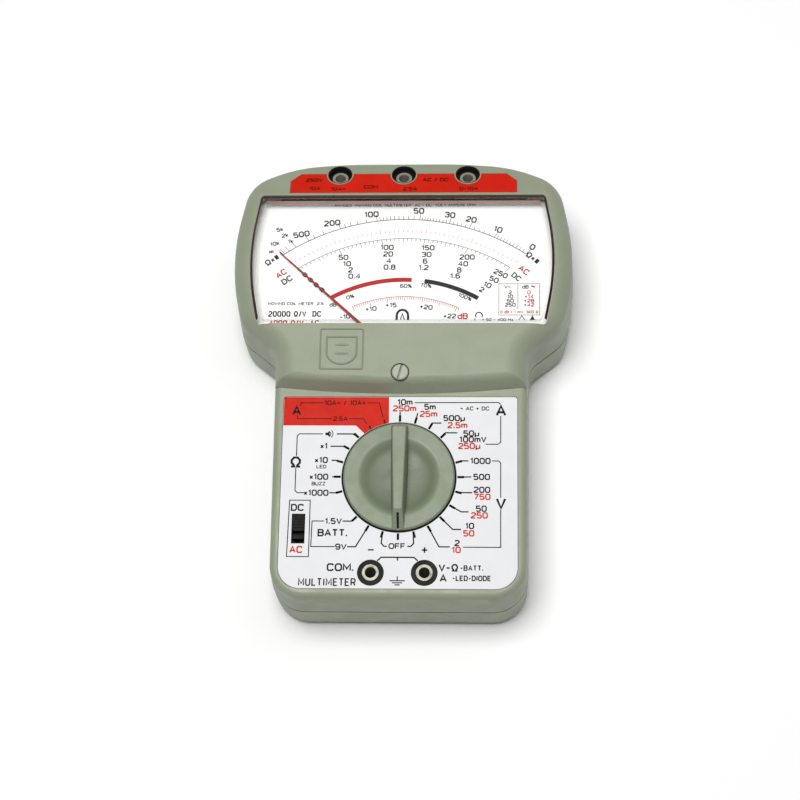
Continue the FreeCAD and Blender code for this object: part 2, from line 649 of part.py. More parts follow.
def pointer():
    """Needle cranked up over the dial, with its hub and the cross that carries the balance weights."""
    crank = 11.0
    hub = ring(0, PIVOT_Y, HUB_Z - 0.5, HUB_Z + 0.3, 1.8, 0.6)
    low, high = HUB_Z - 0.3, POINTER_Z - 0.3
    start = box(-0.6, 0.6, PIVOT_Y + 1.3, PIVOT_Y + crank + 0.5, low, low + 0.5)
    riser = box(-0.6, 0.6, PIVOT_Y + crank, PIVOT_Y + crank + 0.5, low, high + 0.5)
    knee = PIVOT_Y + 44.0
    tip = PIVOT_Y + POINTER_LENGTH
    outline = [(-0.6, PIVOT_Y + crank, 0), (0.6, PIVOT_Y + crank, 0), (0.36, knee, 0), (0.2, tip, 0),
               (-0.2, tip, 0), (-0.36, knee, 0)]
    needle = prism(outline, high, high + 0.5)
    tail = box(-0.35, 0.35, PIVOT_Y - 8.6, PIVOT_Y - 1.3, low, low + 0.5)
    arms = [box(x, x + 4.9, PIVOT_Y - 0.35, PIVOT_Y + 0.35, low, low + 0.5) for x in (-6.2, 1.3)]
    return turned_about(fused([hub, start, riser, needle, tail] + arms), 0, PIVOT_Y, POINTER_REST)


def balance_weights():
    """Three small coils of wire slid onto the pointer's cross."""
    reach = ((0.0, -6.4, (0, 1, 0)), (4.6, 0.0, (1, 0, 0)), (-4.6, 0.0, (1, 0, 0)))
    weights = []
    for dx, dy, direction in reach:
        axis = Vector(*direction)
        base = Vector(dx, PIVOT_Y + dy, HUB_Z - 0.05) - axis * 0.8
        hole = Part.makeCylinder(0.45, 4, base - axis, axis)
        weights.append(Part.makeCylinder(0.85, 1.6, base, axis).cut(hole))
    return group([turned_about(weight, 0, PIVOT_Y, POINTER_REST) for weight in weights])


def hairspring(z):
    return spiral(0, PIVOT_Y, z, 0.7, 4.2, 4.0, 0.35, 0.12)


def upper_bridge():
    bar = rounded_box(-YOKE_OUTER, YOKE_OUTER, PIVOT_Y - 3, PIVOT_Y + 3, 39.2, 40.6, 1.5)
    posts = [cylinder(side * 14.1, PIVOT_Y, YOKE_Z[1], 39.2, 1.8) for side in (-1, 1)]
    return fused([bar] + posts).cut(cylinder(0, PIVOT_Y, 30, 50, 1.6))


def jewel_screw(low, high, cup_up):
    """Bearing screw whose cup takes the pointed end of the staff, with a setting slot at the other end."""
    screw = cylinder(0, PIVOT_Y, low, high, 1.6)
    cup = cylinder(0, PIVOT_Y, high - 0.9, high, 0.66) if cup_up else cylinder(0, PIVOT_Y, low, low + 0.9, 0.66)
    slot_low = low if cup_up else high - 0.7
    slot = centred_box(0, PIVOT_Y, 3.4, 0.6, slot_low, slot_low + 0.7)
    return screw.cut(fused([cup, slot]))


def movement_base():
    """Plate that carries the yoke and the dial and is screwed up into the front shell."""
    plate = rounded_box(-31, 31, -8.0, 24.0, 18.2, YOKE_Z[0], 3.0)
    well = cylinder(0, PIVOT_Y, 17.0, YOKE_Z[0] + 1, YOKE_INNER - 0.1)
    bar = centred_box(0, PIVOT_Y, 2 * YOKE_INNER + 2, 6.0, 16.6, 18.2)
    posts = [cylinder(side * 20.0, 20.4, 19.0, DIAL_Z - DIAL_THICKNESS, 2.2) for side in (-1, 1)]
    holes = [cylinder(x, y, 10, 30, THREAD_RADIUS + 0.1) for x, y in mirrored(MOVEMENT_SCREWS)]
    ears = [cylinder(x, y, 18.2, 21.5, 3.4) for x, y in mirrored(MOVEMENT_SCREWS)]
    body = fused([plate.cut(well), bar] + posts + ears)
    return body.cut(group(holes + [cylinder(0, PIVOT_Y, 10, 30, 1.6)]))


# ---------------------------------------------------------------- zero adjustment
def zero_adjust_screw():
    head = turned([(0, 42.2), (ZERO_SCREW_RADIUS, 42.2), (ZERO_SCREW_RADIUS, PLATEAU_Z),
                   (ZERO_SCREW_RADIUS - 0.4, PLATEAU_Z + 0.4), (0, PLATEAU_Z + 0.4)], 0, ZERO_SCREW_Y)
    slot = centred_box(0, ZERO_SCREW_Y, 0.9, 10, PLATEAU_Z - 0.7, 46)
    slot = turned_about(slot, 0, ZERO_SCREW_Y, ZERO_SLOT_TURN)
    stem = cylinder(0, ZERO_SCREW_Y, 40.2, 42.4, 1.6)
    pin = cylinder(0, ZERO_SCREW_Y - ZERO_PIN_OFFSET, 37.9, 40.4, 0.45)
    return fused([head.cut(slot), stem, pin])


def zero_arm():
    """Lever that turns the fixed end of the upper hairspring; its fork straddles the eccentric pin."""
    hub = ring(0, PIVOT_Y, 38.2, 38.8, 3.0, 1.75)
    blade = box(-1.7, 1.7, ZERO_SCREW_Y - 2.4, PIVOT_Y - 2.3, 38.2, 38.8)
    fork = box(-0.75, 0.75, ZERO_SCREW_Y - 3, ZERO_SCREW_Y + 1.2, 37, 40)
    tab = box(4.27, 5.0, PIVOT_Y - 0.5, PIVOT_Y + 0.5, 37.5, 38.8)
    link = box(2.4, 4.6, PIVOT_Y - 0.5, PIVOT_Y + 0.5, 38.2, 38.8)
    return fused([hub, blade.cut(fork), tab, link])


# ---------------------------------------------------------------- circuit board and what it carries
def circuit_board():
    board = rounded_box(-42.5, 42.5, -80.0, -12.5, *BOARD_Z, 9.0)
    holes = [along(mouth, outward, -30, 0, 4.2) for mouth, outward in socket_axes()[:2]]
    holes += [cylinder(x, y, 0, 60, BOSS_RADIUS + 0.5) for x, y in mirrored(CASE_SCREWS[1:])]
    holes.append(cylinder(0, KNOB_Y, 0, 60, 1.6))
    return group([board.cut(group(holes))] + contact_tracks())


def contact_tracks():
    """Gold-plated pads under the rotor: two rings of segments."""
    pads = []
    for radius in (11.0, 18.0):
        band = ring(0, KNOB_Y, BOARD_Z[1], BOARD_Z[1] + 0.1, radius + 1.2, radius - 1.2)
        gaps = [turned_about(box(5, 25, KNOB_Y - 0.35, KNOB_Y + 0.35, 26, 28), 0, KNOB_Y, 15 * i + 7.5)
                for i in range(RANGE_COUNT)]
        pads.append(band.cut(group(gaps)))
    return pads


def axial_part(x, y, z, length, radius, lead_radius, turn):
    """Resistor, diode or fuse lying under the board, along X before it is turned."""
    body = Part.makeCylinder(radius, length, Vector(x - length / 2, y, z), Vector(1, 0, 0))
    reach = length / 2 + 1.6
    wire = Part.makeCylinder(lead_radius, 2 * reach, Vector(x - reach, y, z), Vector(1, 0, 0))
    legs = [cylinder(x + side * reach, y, z, BOARD_Z[0], lead_radius) for side in (-1, 1)]
    return turned_about(fused([body, wire] + legs), x, y, turn)


def resistors():
    rows = [axial_part(-20 + 11 * i, -20.5 - 4.2 * j, 22.8, 6.3, 1.25, 0.3, 0)
            for i in range(5) for j in range(2)]
    rows += [axial_part(33.0, -34 - 4.2 * j, 22.8, 6.3, 1.25, 0.3, 0) for j in range(4)]
    return group(rows)


def trimmers():
    return group([centred_box(-26.0 + 9.0 * i, -36.0, 6.6, 6.6, 20.4, BOARD_Z[0]).cut(
        cylinder(-26.0 + 9.0 * i, -36.0, 18, 21.2, 1.6)) for i in range(3)])


def capacitor():
    return turned([(0, 12.0), (3.6, 12.0), (4.0, 12.4), (4.0, BOARD_Z[0]), (0, BOARD_Z[0])], 30.0, -56.0)


def fuse():
    glass = Part.makeCylinder(2.3, 12.0, Vector(4, -62, 19.6), Vector(1, 0, 0))
    caps = [Part.makeCylinder(2.6, 4.4, Vector(x, -62, 19.6), Vector(1, 0, 0)) for x in (0.0, 15.6)]
    return fused([glass] + caps)


def fuse_clips():
    clips = []
    for x in (0.6, 16.4):
        block = box(x, x + 3.0, -65.2, -58.8, 17.6, BOARD_Z[0])
        saddle = Part.makeCylinder(2.6, 10, Vector(x - 3, -62, 19.6), Vector(1, 0, 0))
        mouth = box(x - 1, x + 5, -63.9, -60.1, 10, 19.6)
        clips.append(block.cut(fused([saddle, mouth])))
    return group(clips)


def shunt_bar():
    """Thick manganin wire for the highest current range."""
    span = Part.makeCylinder(0.9, 22.0, Vector(-30, -50.0, 19.6), Vector(1, 0, 0))
    legs = [cylinder(x, -50.0, 19.0, BOARD_Z[0], 0.9) for x in (-29.2, -8.8)]
    return fused([span] + legs)


def buzzer():
    can = turned([(0, 15.0), (7.2, 15.0), (8.0, 15.8), (8.0, BOARD_Z[0]), (0, BOARD_Z[0])], 18.0, -47.0)
    return can.cut(cylinder(18.0, -47.0, 14, 17.0, 1.2))


def ohm_potentiometer():
    x, y = WHEEL_AT
    can = cylinder(x, y, 22.6, BOARD_Z[0], 4.6)
    return can.cut(cylinder(x, y, 20, 24.4, 1.55))


def ohm_thumbwheel():
    x, y = WHEEL_AT
    disc = cylinder(x, y, 20.7, 22.3, WHEEL_RADIUS)
    flutes = []
    for i in range(30):
        angle = 2 * math.pi * i / 30
        flutes.append(cylinder(x + 8.15 * math.cos(angle), y + 8.15 * math.sin(angle), 20, 23, 0.42))
    return fused([disc.cut(group(flutes)), cylinder(x, y, 22.0, 24.1, 1.5)])


# ---------------------------------------------------------------- battery
def cell(y):
    half = CELL_LENGTH / 2 - 1.0
    can = Part.makeCylinder(CELL_RADIUS, 2 * half, Vector(-half, y, CELL_Z), Vector(1, 0, 0))
    side = 1 if y == CELL_YS[0] else -1
    nub = Part.makeCylinder(2.6, 1.2, Vector(half if side > 0 else -half - 1.2, y, CELL_Z), Vector(1, 0, 0))
    return fused([can, nub])


def battery_contacts():
    """End plates, with a conical spring for each cell's flat end and a dimple for its nub."""
    spring = coil_form(24.02, CELL_YS[1], CELL_Z, 28.4 - 24.02, 4, 2.4, 4.2, 0.5)
    dimple = Part.makeCylinder(2.2, 3.1, Vector(-28.4, CELL_YS[1], CELL_Z), Vector(1, 0, 0))
    plates = [centred_box(x, CELL_YS[1], 0.6, 10.0, 5.5, 15.0) for x in (-28.7, 28.7)]
    row = group([spring, dimple] + plates)
    middle = (CELL_YS[0] + CELL_YS[1]) / 2
    return group([row, turned_about(row, 0, middle, 180)])


# ---------------------------------------------------------------- output
def save(name, shape):
    shape.exportStep("parts/" + name + ".step")


def main():
    parts = {
        "front_case": front_case(),
        "rear_case": rear_case(),
        "meter_window": meter_window(),
        "dial_plate": dial_plate(),
        "panel_label": label_form(0.0, PANEL_Z - LABEL_DEPTH, PANEL_Z).cut(
            fused([cylinder(0, KNOB_Y, 30, 60, KNOB_HOLE_RADIUS + 0.1),
                   centred_box(SLIDE_X, SLIDE_Y, SLIDE_SLOT[0], SLIDE_SLOT[1], 30, 60)]
                  + [along(mouth, outward, -9, 9, SOCKET_HOLE_RADIUS) for mouth, outward in socket_axes()[:2]])),
        "socket_label": strip_form(0.0, 0.3).cut(well_columns(WELL_RADIUS + WELL_RIM + 0.1)),
        "case_screws": group([pan_screw(x, y, 7.2, 24.0) for x, y in mirrored(CASE_SCREWS)]),
        "movement_screws": group([pan_screw(x, y, 16.4, 12.0, 2.2, 1.8) for x, y in mirrored(MOVEMENT_SCREWS)]),
        "socket_nuts": socket_nuts(),
        "rubber_feet": group([rubber_foot(x, y) for x, y in mirrored(FEET)]),
        "detent_balls": detent_balls(),
        "detent_housings": detent_housings(),
        "detent_springs": detent_springs(),
        "selector_knob": selector_knob(),
        "range_rotor": range_rotor(),
        "rotor_screw": rotor_screw(),
        "wiper_contacts": wipers(),
        "slide_button": slide_button(),
        "slide_switch_body": slide_switch_body(),
        "slide_contact": slide_contact(),
        "yoke_ring": yoke_ring(),
        "core_magnet": core_magnet(),
        "core_bridges": core_bridges(),
        "moving_coil": moving_coil(),
        "coil_staff": coil_staff(),
        "pointer": pointer(),
        "balance_weights": balance_weights(),
        "upper_hairspring": hairspring(37.5),
        "lower_hairspring": hairspring(19.1),
        "upper_bridge": upper_bridge(),
        "upper_jewel_screw": jewel_screw(37.9, 41.6, False),
        "lower_jewel_screw": jewel_screw(15.6, 18.5, True),
        "movement_base": movement_base(),
        "zero_adjust_screw": zero_adjust_screw(),
        "zero_arm": zero_arm(),
        "circuit_board": circuit_board(),
        "resistors": resistors(),
        "trimmers": trimmers(),
        "capacitor": capacitor(),
        "fuse": fuse(),
        "fuse_clips": fuse_clips(),
        "shunt_bar": shunt_bar(),
        "buzzer": buzzer(),
        "ohm_potentiometer": ohm_potentiometer(),
        "ohm_thumbwheel": ohm_thumbwheel(),
        "cell_left": cell(CELL_YS[0]),
        "cell_right": cell(CELL_YS[1]),
        "battery_contacts": battery_contacts(),
        "battery_door": battery_door(),
        "door_screw": pan_screw(0, DOOR_SCREW_Y, FOOT_HEIGHT + 0.1, 8.0, 2.3, 0.9),
    }
    for number, (mouth, outward) in enumerate(socket_axes(), start=1):
        parts["socket_insulator_" + str(number)] = socket_insulator(mouth, outward, number > 2)
        parts["socket_contact_" + str(number)] = socket_contact(mouth, outward, number > 2)
    for name, shape in parts.items():
        save(name, shape)
        sound = shape.isValid() and all(solid.isClosed() for solid in shape.Solids)
        print(name, len(shape.Solids), "solids", "valid" if sound else "NOT VALID", round(shape.Volume, 1))


main()
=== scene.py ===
"""The look of the analog multimeter: materials, printing, trim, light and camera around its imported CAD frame.

Everything is in metres in the part's own frame, +X right, +Y towards the meter head, +Z out of the panel.
Layouts are written in millimetres and turned into metres by MM.
"""

import json
import math

import bmesh
import bpy
from mathutils import Matrix, Vector


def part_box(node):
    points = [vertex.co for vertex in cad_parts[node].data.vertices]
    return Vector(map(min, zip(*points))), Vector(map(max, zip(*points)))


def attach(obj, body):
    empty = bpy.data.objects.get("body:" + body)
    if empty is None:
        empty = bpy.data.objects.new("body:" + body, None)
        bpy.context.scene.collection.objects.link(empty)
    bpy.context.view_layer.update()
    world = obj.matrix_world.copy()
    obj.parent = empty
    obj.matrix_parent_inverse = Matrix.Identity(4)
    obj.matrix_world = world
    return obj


MM = 0.001
LIGHT_LEVEL = 1.15          # what the lights put on a face that looks up, as a multiple of full white

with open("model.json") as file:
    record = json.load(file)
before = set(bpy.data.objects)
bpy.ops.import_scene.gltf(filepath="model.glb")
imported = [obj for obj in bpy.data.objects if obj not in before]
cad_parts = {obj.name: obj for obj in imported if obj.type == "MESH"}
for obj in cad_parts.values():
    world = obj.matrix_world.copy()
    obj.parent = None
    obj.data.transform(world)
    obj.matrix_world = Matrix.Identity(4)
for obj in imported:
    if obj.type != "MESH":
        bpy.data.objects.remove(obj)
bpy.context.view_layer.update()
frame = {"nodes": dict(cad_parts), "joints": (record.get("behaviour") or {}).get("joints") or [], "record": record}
record = frame["record"]
nodes = frame["nodes"]


# ---------------------------------------------------------------- places, from the frame
def joint_place(name):
    return Vector(next(joint["pos_m"] for joint in frame["joints"] if joint["name"] == name))


def mount(name):
    return next(entry for entry in record["mounts"] if entry["name"] == name)


KNOB = joint_place("selector_turn")
PIVOT = joint_place("coil_turn")
LABEL_LOW, LABEL_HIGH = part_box("panel_label")
DIAL_LOW, DIAL_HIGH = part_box("dial_plate")
STRIP_LOW, STRIP_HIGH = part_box("socket_label")
WINDOW_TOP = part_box("meter_window")[1].z
PLATEAU_RISE = 6.5 * MM     # of the case's plateau over the selector's joint
RIM_RISE = 1.3 * MM         # of the knob's rim over it
PLATEAU = KNOB.z + PLATEAU_RISE
RIM = KNOB.z + RIM_RISE
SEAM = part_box("rear_case")[1].z
SLOPE_NORMAL = Vector(mount("current_socket_middle")["axis"])


# ---------------------------------------------------------------- camera
def make_camera():
    """The photograph's viewpoint: over the socket end, tilted back and turned a little to the left."""
    place = (0.03434, -0.25184, 0.72198)
    tilt, yaw, roll = 0.338854, 0.0474953, 0.00120078
    right = Vector((1, 0, 0))
    up = Vector((0, math.cos(tilt), math.sin(tilt)))
    back = up.cross(right) * -1
    turned_right = right * math.cos(yaw) - back * math.sin(yaw)
    turned_back = right * math.sin(yaw) + back * math.cos(yaw)
    rolled_right = turned_right * math.cos(roll) + up * math.sin(roll)
    rolled_up = up * math.cos(roll) - turned_right * math.sin(roll)
    data = bpy.data.cameras.new("camera")
    data.lens = 90
    data.sensor_width = 36
    data.clip_start = 0.01
    data.clip_end = 10
    camera = bpy.data.objects.new("camera", data)
    bpy.context.scene.collection.objects.link(camera)
    axes = Matrix((rolled_right, rolled_up, turned_back)).transposed().to_4x4()
    camera.matrix_world = Matrix.Translation(place) @ axes
    bpy.context.scene.camera = camera


# ---------------------------------------------------------------- materials
def tone(red, green, blue):
    """Linear colour of a face that is to look like an sRGB one, given as 0 to 255, under the lights."""
    values = []
    for value in (red, green, blue):
        share = value / 255
        values.append(share / 12.92 if share <= 0.04045 else ((share + 0.055) / 1.055) ** 2.4)
    return (*(value / LIGHT_LEVEL for value in values), 1.0)


class Finish:
    """A procedural material that is built up around one Principled shader."""

    def __init__(self, name):
        self.material = bpy.data.materials.new(name)
        self.material.use_nodes = True
        self.tree = self.material.node_tree
        self.shader = self.tree.nodes["Principled BSDF"]
        self.place = self.add("ShaderNodeTexCoord").outputs["Object"]

    def add(self, kind, **settings):
        node = self.tree.nodes.new(kind)
        for key, value in settings.items():
            setattr(node, key, value)
        return node

    def link(self, source, target):
        self.tree.links.new(source, target)

    def stretched(self, scale):
        node = self.add("ShaderNodeMapping")
        node.inputs["Scale"].default_value = scale
        self.link(self.place, node.inputs["Vector"])
        return node.outputs["Vector"]

    def noise(self, size, detail=2.0, place=None):
        """Values around 0.5 in patches of that size, in metres."""
        node = self.add("ShaderNodeTexNoise")
        node.inputs["Scale"].default_value = 1 / size
        node.inputs["Detail"].default_value = detail
        self.link(place or self.place, node.inputs["Vector"])
        return node.outputs["Fac"]

    def spots(self, size):
        node = self.add("ShaderNodeTexVoronoi")
        node.inputs["Scale"].default_value = 1 / size
        self.link(self.place, node.inputs["Vector"])
        return node.outputs["Distance"]

    def spread(self, value, low, high, to_low=0.0, to_high=1.0):
        node = self.add("ShaderNodeMapRange")
        self.link(value, node.inputs["Value"])
        for key, number in (("From Min", low), ("From Max", high), ("To Min", to_low), ("To Max", to_high)):
            node.inputs[key].default_value = number
        return node.outputs["Result"]

    def maths(self, operation, first, second):
        node = self.add("ShaderNodeMath", operation=operation)
        for socket, value in zip(node.inputs, (first, second)):
            if isinstance(value, (int, float)):
                socket.default_value = value
            else:
                self.link(value, socket)
        return node.outputs[0]

    def blended(self, share, first, second):
        """Colour between first and second, each a colour or a socket."""
        node = self.add("ShaderNodeMix", data_type="RGBA")
        self.link(share, node.inputs[0])
        for socket, value in ((node.inputs[6], first), (node.inputs[7], second)):
            if isinstance(value, tuple):
                socket.default_value = value
            else:
                self.link(value, socket)
        return node.outputs[2]

    def bump(self, height, distance, normal=None):
        node = self.add("ShaderNodeBump")
        node.inputs["Distance"].default_value = distance
        self.link(height, node.inputs["Height"])
        if normal:
            self.link(normal, node.inputs["Normal"])
        return node.outputs["Normal"]

    def height(self):
        """Height above the resting surface, in metres."""
        node = self.add("ShaderNodeSeparateXYZ")
        self.link(self.place, node.inputs["Vector"])
        return node.outputs["Z"]

    def edge_share(self, radius):
        """1 on sharp edges, both outer and inner, and 0 on flat faces."""
        bevel = self.add("ShaderNodeBevel", samples=4)
        bevel.inputs["Radius"].default_value = radius
        geometry = self.add("ShaderNodeNewGeometry")
        product = self.add("ShaderNodeVectorMath", operation="DOT_PRODUCT")
        self.link(bevel.outputs["Normal"], product.inputs[0])
        self.link(geometry.outputs["Normal"], product.inputs[1])
        return self.spread(product.outputs["Value"], 0.98, 0.80)

    def hollow_share(self, reach, open_at=0.75, shut_at=0.2):
        """Mask for painted shade: 1 far into grooves and inner corners and 0 in the open."""
        node = self.add("ShaderNodeAmbientOcclusion", samples=4)
        node.inputs["Distance"].default_value = reach
        return self.spread(node.outputs["AO"], open_at, shut_at)

    def set(self, **values):
        """Values that are the same all over go straight onto the shader."""
        for key, value in values.items():
            self.shader.inputs[key.replace("_", " ").title().replace("Ior", "IOR")].default_value = value

    def colour(self, socket):
        self.link(socket, self.shader.inputs["Base Color"])

    def roughness(self, socket):
        self.link(socket, self.shader.inputs["Roughness"])

    def normal(self, socket):
        self.link(socket, self.shader.inputs["Normal"])


def moulded(name, light, dark, rough=(0.42, 0.56), grain=0.35 * MM, worn=None, corner_shade=None, shaded=None,
            gloss=0.5):
    """Moulded plastic: fine spark-eroded grain, faint flow marks, paler worn edges and painted shade in the
    corners.

    shaded is a colour, the heights where it starts and is full, and the height where it ends, or None.
    """
    made = Finish(name)
    relief = 0.012 * MM
    flow = made.spread(made.noise(22 * MM, 3.0), 0.3, 0.7, 0.0, 0.6)
    speckle = made.spread(made.noise(0.5 * MM, 3.0), 0.35, 0.65, 0.0, 0.4)
    colour = made.blended(made.maths("ADD", flow, speckle), light, dark)
    if worn:
        chips = made.maths("MULTIPLY", made.edge_share(0.5 * MM), made.spread(made.noise(2.5 * MM), 0.4, 0.7))
        colour = made.blended(chips, colour, worn)
    # painted shade: a darker colour far into grooves and inner corners, where shade falls
    if corner_shade:
        colour = made.blended(made.maths("MULTIPLY", made.hollow_share(1.6 * MM), 0.7), colour, corner_shade)
    if shaded:
        tint, start, full, end = shaded
        share = made.spread(made.height(), start, full)
        if end:
            share = made.maths("MULTIPLY", share, made.maths("LESS_THAN", made.height(), end))
        colour = made.blended(share, colour, tint)
    made.colour(colour)
    made.set(specular_ior_level=gloss)
    made.roughness(made.spread(made.noise(6 * MM, 4.0), 0.35, 0.65, *rough))
    grained = made.bump(made.noise(grain, 4.0), relief)
    made.normal(made.bump(made.spots(grain * 1.8), relief * 0.6, grained))
    return made.material


def printed(name, light, dark, rough=(0.3, 0.42)):
    """Ink or a printed overlay: nearly even colour with a dot screen's faint unevenness."""
    made = Finish(name)
    cover = made.spread(made.noise(0.25 * MM, 3.0), 0.3, 0.7, 0.0, 0.5)
    patches = made.spread(made.noise(9 * MM, 2.0), 0.3, 0.7, 0.0, 0.5)
    made.colour(made.blended(made.maths("ADD", cover, patches), light, dark))
    made.roughness(made.spread(made.noise(3 * MM, 3.0), 0.35, 0.65, *rough))
    made.set(specular_ior_level=0.15)
    made.normal(made.bump(made.noise(0.4 * MM, 3.0), distance=0.003 * MM))
    return made.material


def metal(name, light, dark, rough=(0.18, 0.36), direction=(1, 1, 12), oxide=None, sheen=1.0, recess_shade=None):
    """Bare or plated metal with fine machining lines and dull patches, and optionally painted shade in its
    recesses.
    """
    made = Finish(name)
    lines = made.noise(0.3 * MM, 4.0, made.stretched(direction))
    patches = made.noise(2.5 * MM, 4.0)
    colour = made.blended(made.spread(lines, 0.3, 0.7), light, dark)
    if oxide:
        colour = made.blended(made.spread(patches, 0.55, 0.8), colour, oxide)
    # painted shade: a dark colour in recesses, such as the socket bores
    if recess_shade:
        colour = made.blended(made.hollow_share(4 * MM, 0.45, 0.12), colour, recess_shade)
    made.colour(colour)
    made.set(metallic=sheen)
    made.roughness(made.spread(patches, 0.3, 0.7, *rough))
    made.normal(made.bump(lines, distance=0.002 * MM))
    return made.material


def clear_cover(name):
    """Polished acrylic: what is under it shows, with a soft sheen and a few hairline scratches."""
    made = Finish(name)
    haze = made.noise(14 * MM, 3.0)
    scratches = made.noise(0.25 * MM, 1.0, made.stretched((1.0, 0.04, 1.0)))
    made.colour(made.blended(haze, tone(250, 250, 250), tone(240, 243, 244)))
    acrylic_index = 1.49
    made.set(ior=acrylic_index)
    glance = made.add("ShaderNodeFresnel")
    glance.inputs["IOR"].default_value = acrylic_index
    cover = made.spread(glance.outputs["Fac"], 0.06, 0.6, to_low=0.012, to_high=0.32)
    made.link(cover, made.shader.inputs["Alpha"])
    made.roughness(made.spread(haze, 0.3, 0.7, 0.03, 0.09))
    made.normal(made.bump(made.spread(scratches, 0.68, 0.8), 0.0006 * MM))
    return made.material


def rubber(name, light, dark):
    made = Finish(name)
    made.colour(made.blended(made.noise(1.2 * MM, 4.0), light, dark))
    made.roughness(made.spread(made.noise(3 * MM), 0.3, 0.7, 0.7, 0.9))
    made.normal(made.bump(made.noise(0.3 * MM, 5.0), 0.02 * MM))
    return made.material


def board(name):
    """Circuit board: green resist over a faint weave."""
    made = Finish(name)
    weave = made.add("ShaderNodeTexChecker")
    weave.inputs["Scale"].default_value = 1 / (0.7 * MM)
    made.link(made.place, weave.inputs["Vector"])
    made.colour(made.blended(made.noise(8 * MM, 3.0), tone(24, 92, 52), tone(38, 112, 66)))
    made.roughness(made.spread(made.noise(4 * MM), 0.3, 0.7, 0.25, 0.4))
    made.normal(made.bump(weave.outputs["Fac"], 0.006 * MM))
    return made.material


def make_materials():
    """One material for each material slot of the record."""
    # painted shadow: a dark band just under the parting line between the two shells
    parting_line_shade = (tone(46, 52, 40), SEAM - 0.95 * MM, SEAM - 0.8 * MM, SEAM + 0.01 * MM)
    # painted shade: the knob darker below its rim, over its dish and the grip's sides
    knob_dish_shade = (tone(114, 125, 102), RIM - 0.05 * MM, RIM - 1.6 * MM, None)
    return {
        # each plastic's darkest colour for its grooves and corners is painted shade
        "case_green": moulded("case_green", tone(157, 165, 142), tone(148, 157, 133),
                              worn=tone(180, 186, 167), corner_shade=tone(98, 106, 87), shaded=parting_line_shade),
        "knob_green": moulded("knob_green", tone(140, 152, 126), tone(131, 143, 118), grain=0.3 * MM,
                              worn=tone(184, 191, 170), corner_shade=tone(100, 110, 90), shaded=knob_dish_shade),
        "zero_screw_green": moulded("zero_screw_green", tone(184, 190, 170), tone(170, 177, 156),
                                    corner_shade=tone(84, 92, 74)),
        "clear_window": clear_cover("clear_window"),
        "dial_white": printed("dial_white", (0.985, 0.98, 0.965, 1.0), (0.96, 0.955, 0.94, 1.0),
                              rough=(0.5, 0.62)),
        "label_white": printed("label_white", tone(244, 244, 245), tone(236, 237, 239), rough=(0.5, 0.62)),
        "strip_red": printed("strip_red", tone(222, 38, 12), tone(206, 28, 9), rough=(0.48, 0.6)),
        "socket_black": moulded("socket_black", tone(30, 29, 27), tone(20, 20, 18),
                                rough=(0.5, 0.62), gloss=0.15),
        "black_plastic": moulded("black_plastic", tone(26, 24, 22), tone(17, 16, 15),
                                 rough=(0.5, 0.65), gloss=0.15),
        # painted shade darkens the nickel in the socket bores
        "nickel": metal("nickel", tone(182, 180, 162), tone(158, 155, 138), oxide=tone(136, 132, 116),
                        rough=(0.4, 0.55), sheen=0.3, recess_shade=tone(20, 20, 18)),
        "brass": metal("brass", tone(214, 176, 96), tone(186, 148, 74), oxide=tone(150, 112, 60)),
        "bronze": metal("bronze", tone(196, 146, 92), tone(170, 120, 72)),
        "copper": metal("copper", tone(190, 104, 62), tone(160, 80, 46), direction=(12, 1, 1)),
        "steel": metal("steel", tone(196, 196, 194), tone(160, 160, 160), oxide=tone(128, 126, 122)),
        "iron": metal("iron", tone(140, 140, 142), tone(112, 112, 114), rough=(0.3, 0.5)),
        "pointer_red": printed("pointer_red", tone(168, 52, 36), tone(140, 38, 28), rough=(0.35, 0.5)),
        "foot_rubber": rubber("foot_rubber", tone(38, 38, 38), tone(24, 24, 24)),
        "board_green": board("board_green"),
        "resistor_body": printed("resistor_body", tone(204, 178, 132), tone(184, 156, 110), rough=(0.4, 0.6)),
        "trimmer_blue": moulded("trimmer_blue", tone(42, 84, 168), tone(30, 66, 140)),
        "capacitor_sleeve": printed("capacitor_sleeve", tone(36, 40, 70), tone(24, 28, 54)),
        "fuse_glass": printed("fuse_glass", tone(216, 222, 224), tone(196, 204, 206), rough=(0.08, 0.16)),
        "cell_wrap": printed("cell_wrap", tone(58, 60, 64), tone(44, 46, 50), rough=(0.25, 0.35)),
    }


def dress_nodes(materials):
    """Gives each CAD node the procedural material of its slot."""
    for node in nodes.values():
        for slot in node.material_slots:
            name = slot.material.name.split(".")[0]
            slot.material = materials[name]


# ---------------------------------------------------------------- lettering
LETTER_GAP = 0.34           # between letters, as a share of the cap height


def lozenge(left, low, right, high, cut=0.2):
    """Closed outline of a box with its corners cut off."""
    points = [(left + cut, low), (right - cut, low), (right, low + cut), (right, high - cut),
              (right - cut, high), (left + cut, high), (left, high - cut), (left, low + cut)]
    return points + points[:1]


SIX = [(0.95, 0.86), (0.8, 1), (0.2, 1), (0, 0.8), (0, 0.2), (0.2, 0), (0.8, 0), (1, 0.2), (1, 0.4),
       (0.8, 0.56), (0, 0.56)]
P_BOWL = [(0, 0), (0, 1), (0.8, 1), (1, 0.85), (1, 0.6), (0.8, 0.45), (0, 0.45)]
C_BOWL = [(1, 0.8), (0.8, 1), (0.2, 1), (0, 0.8), (0, 0.2), (0.2, 0), (0.8, 0), (1, 0.2)]
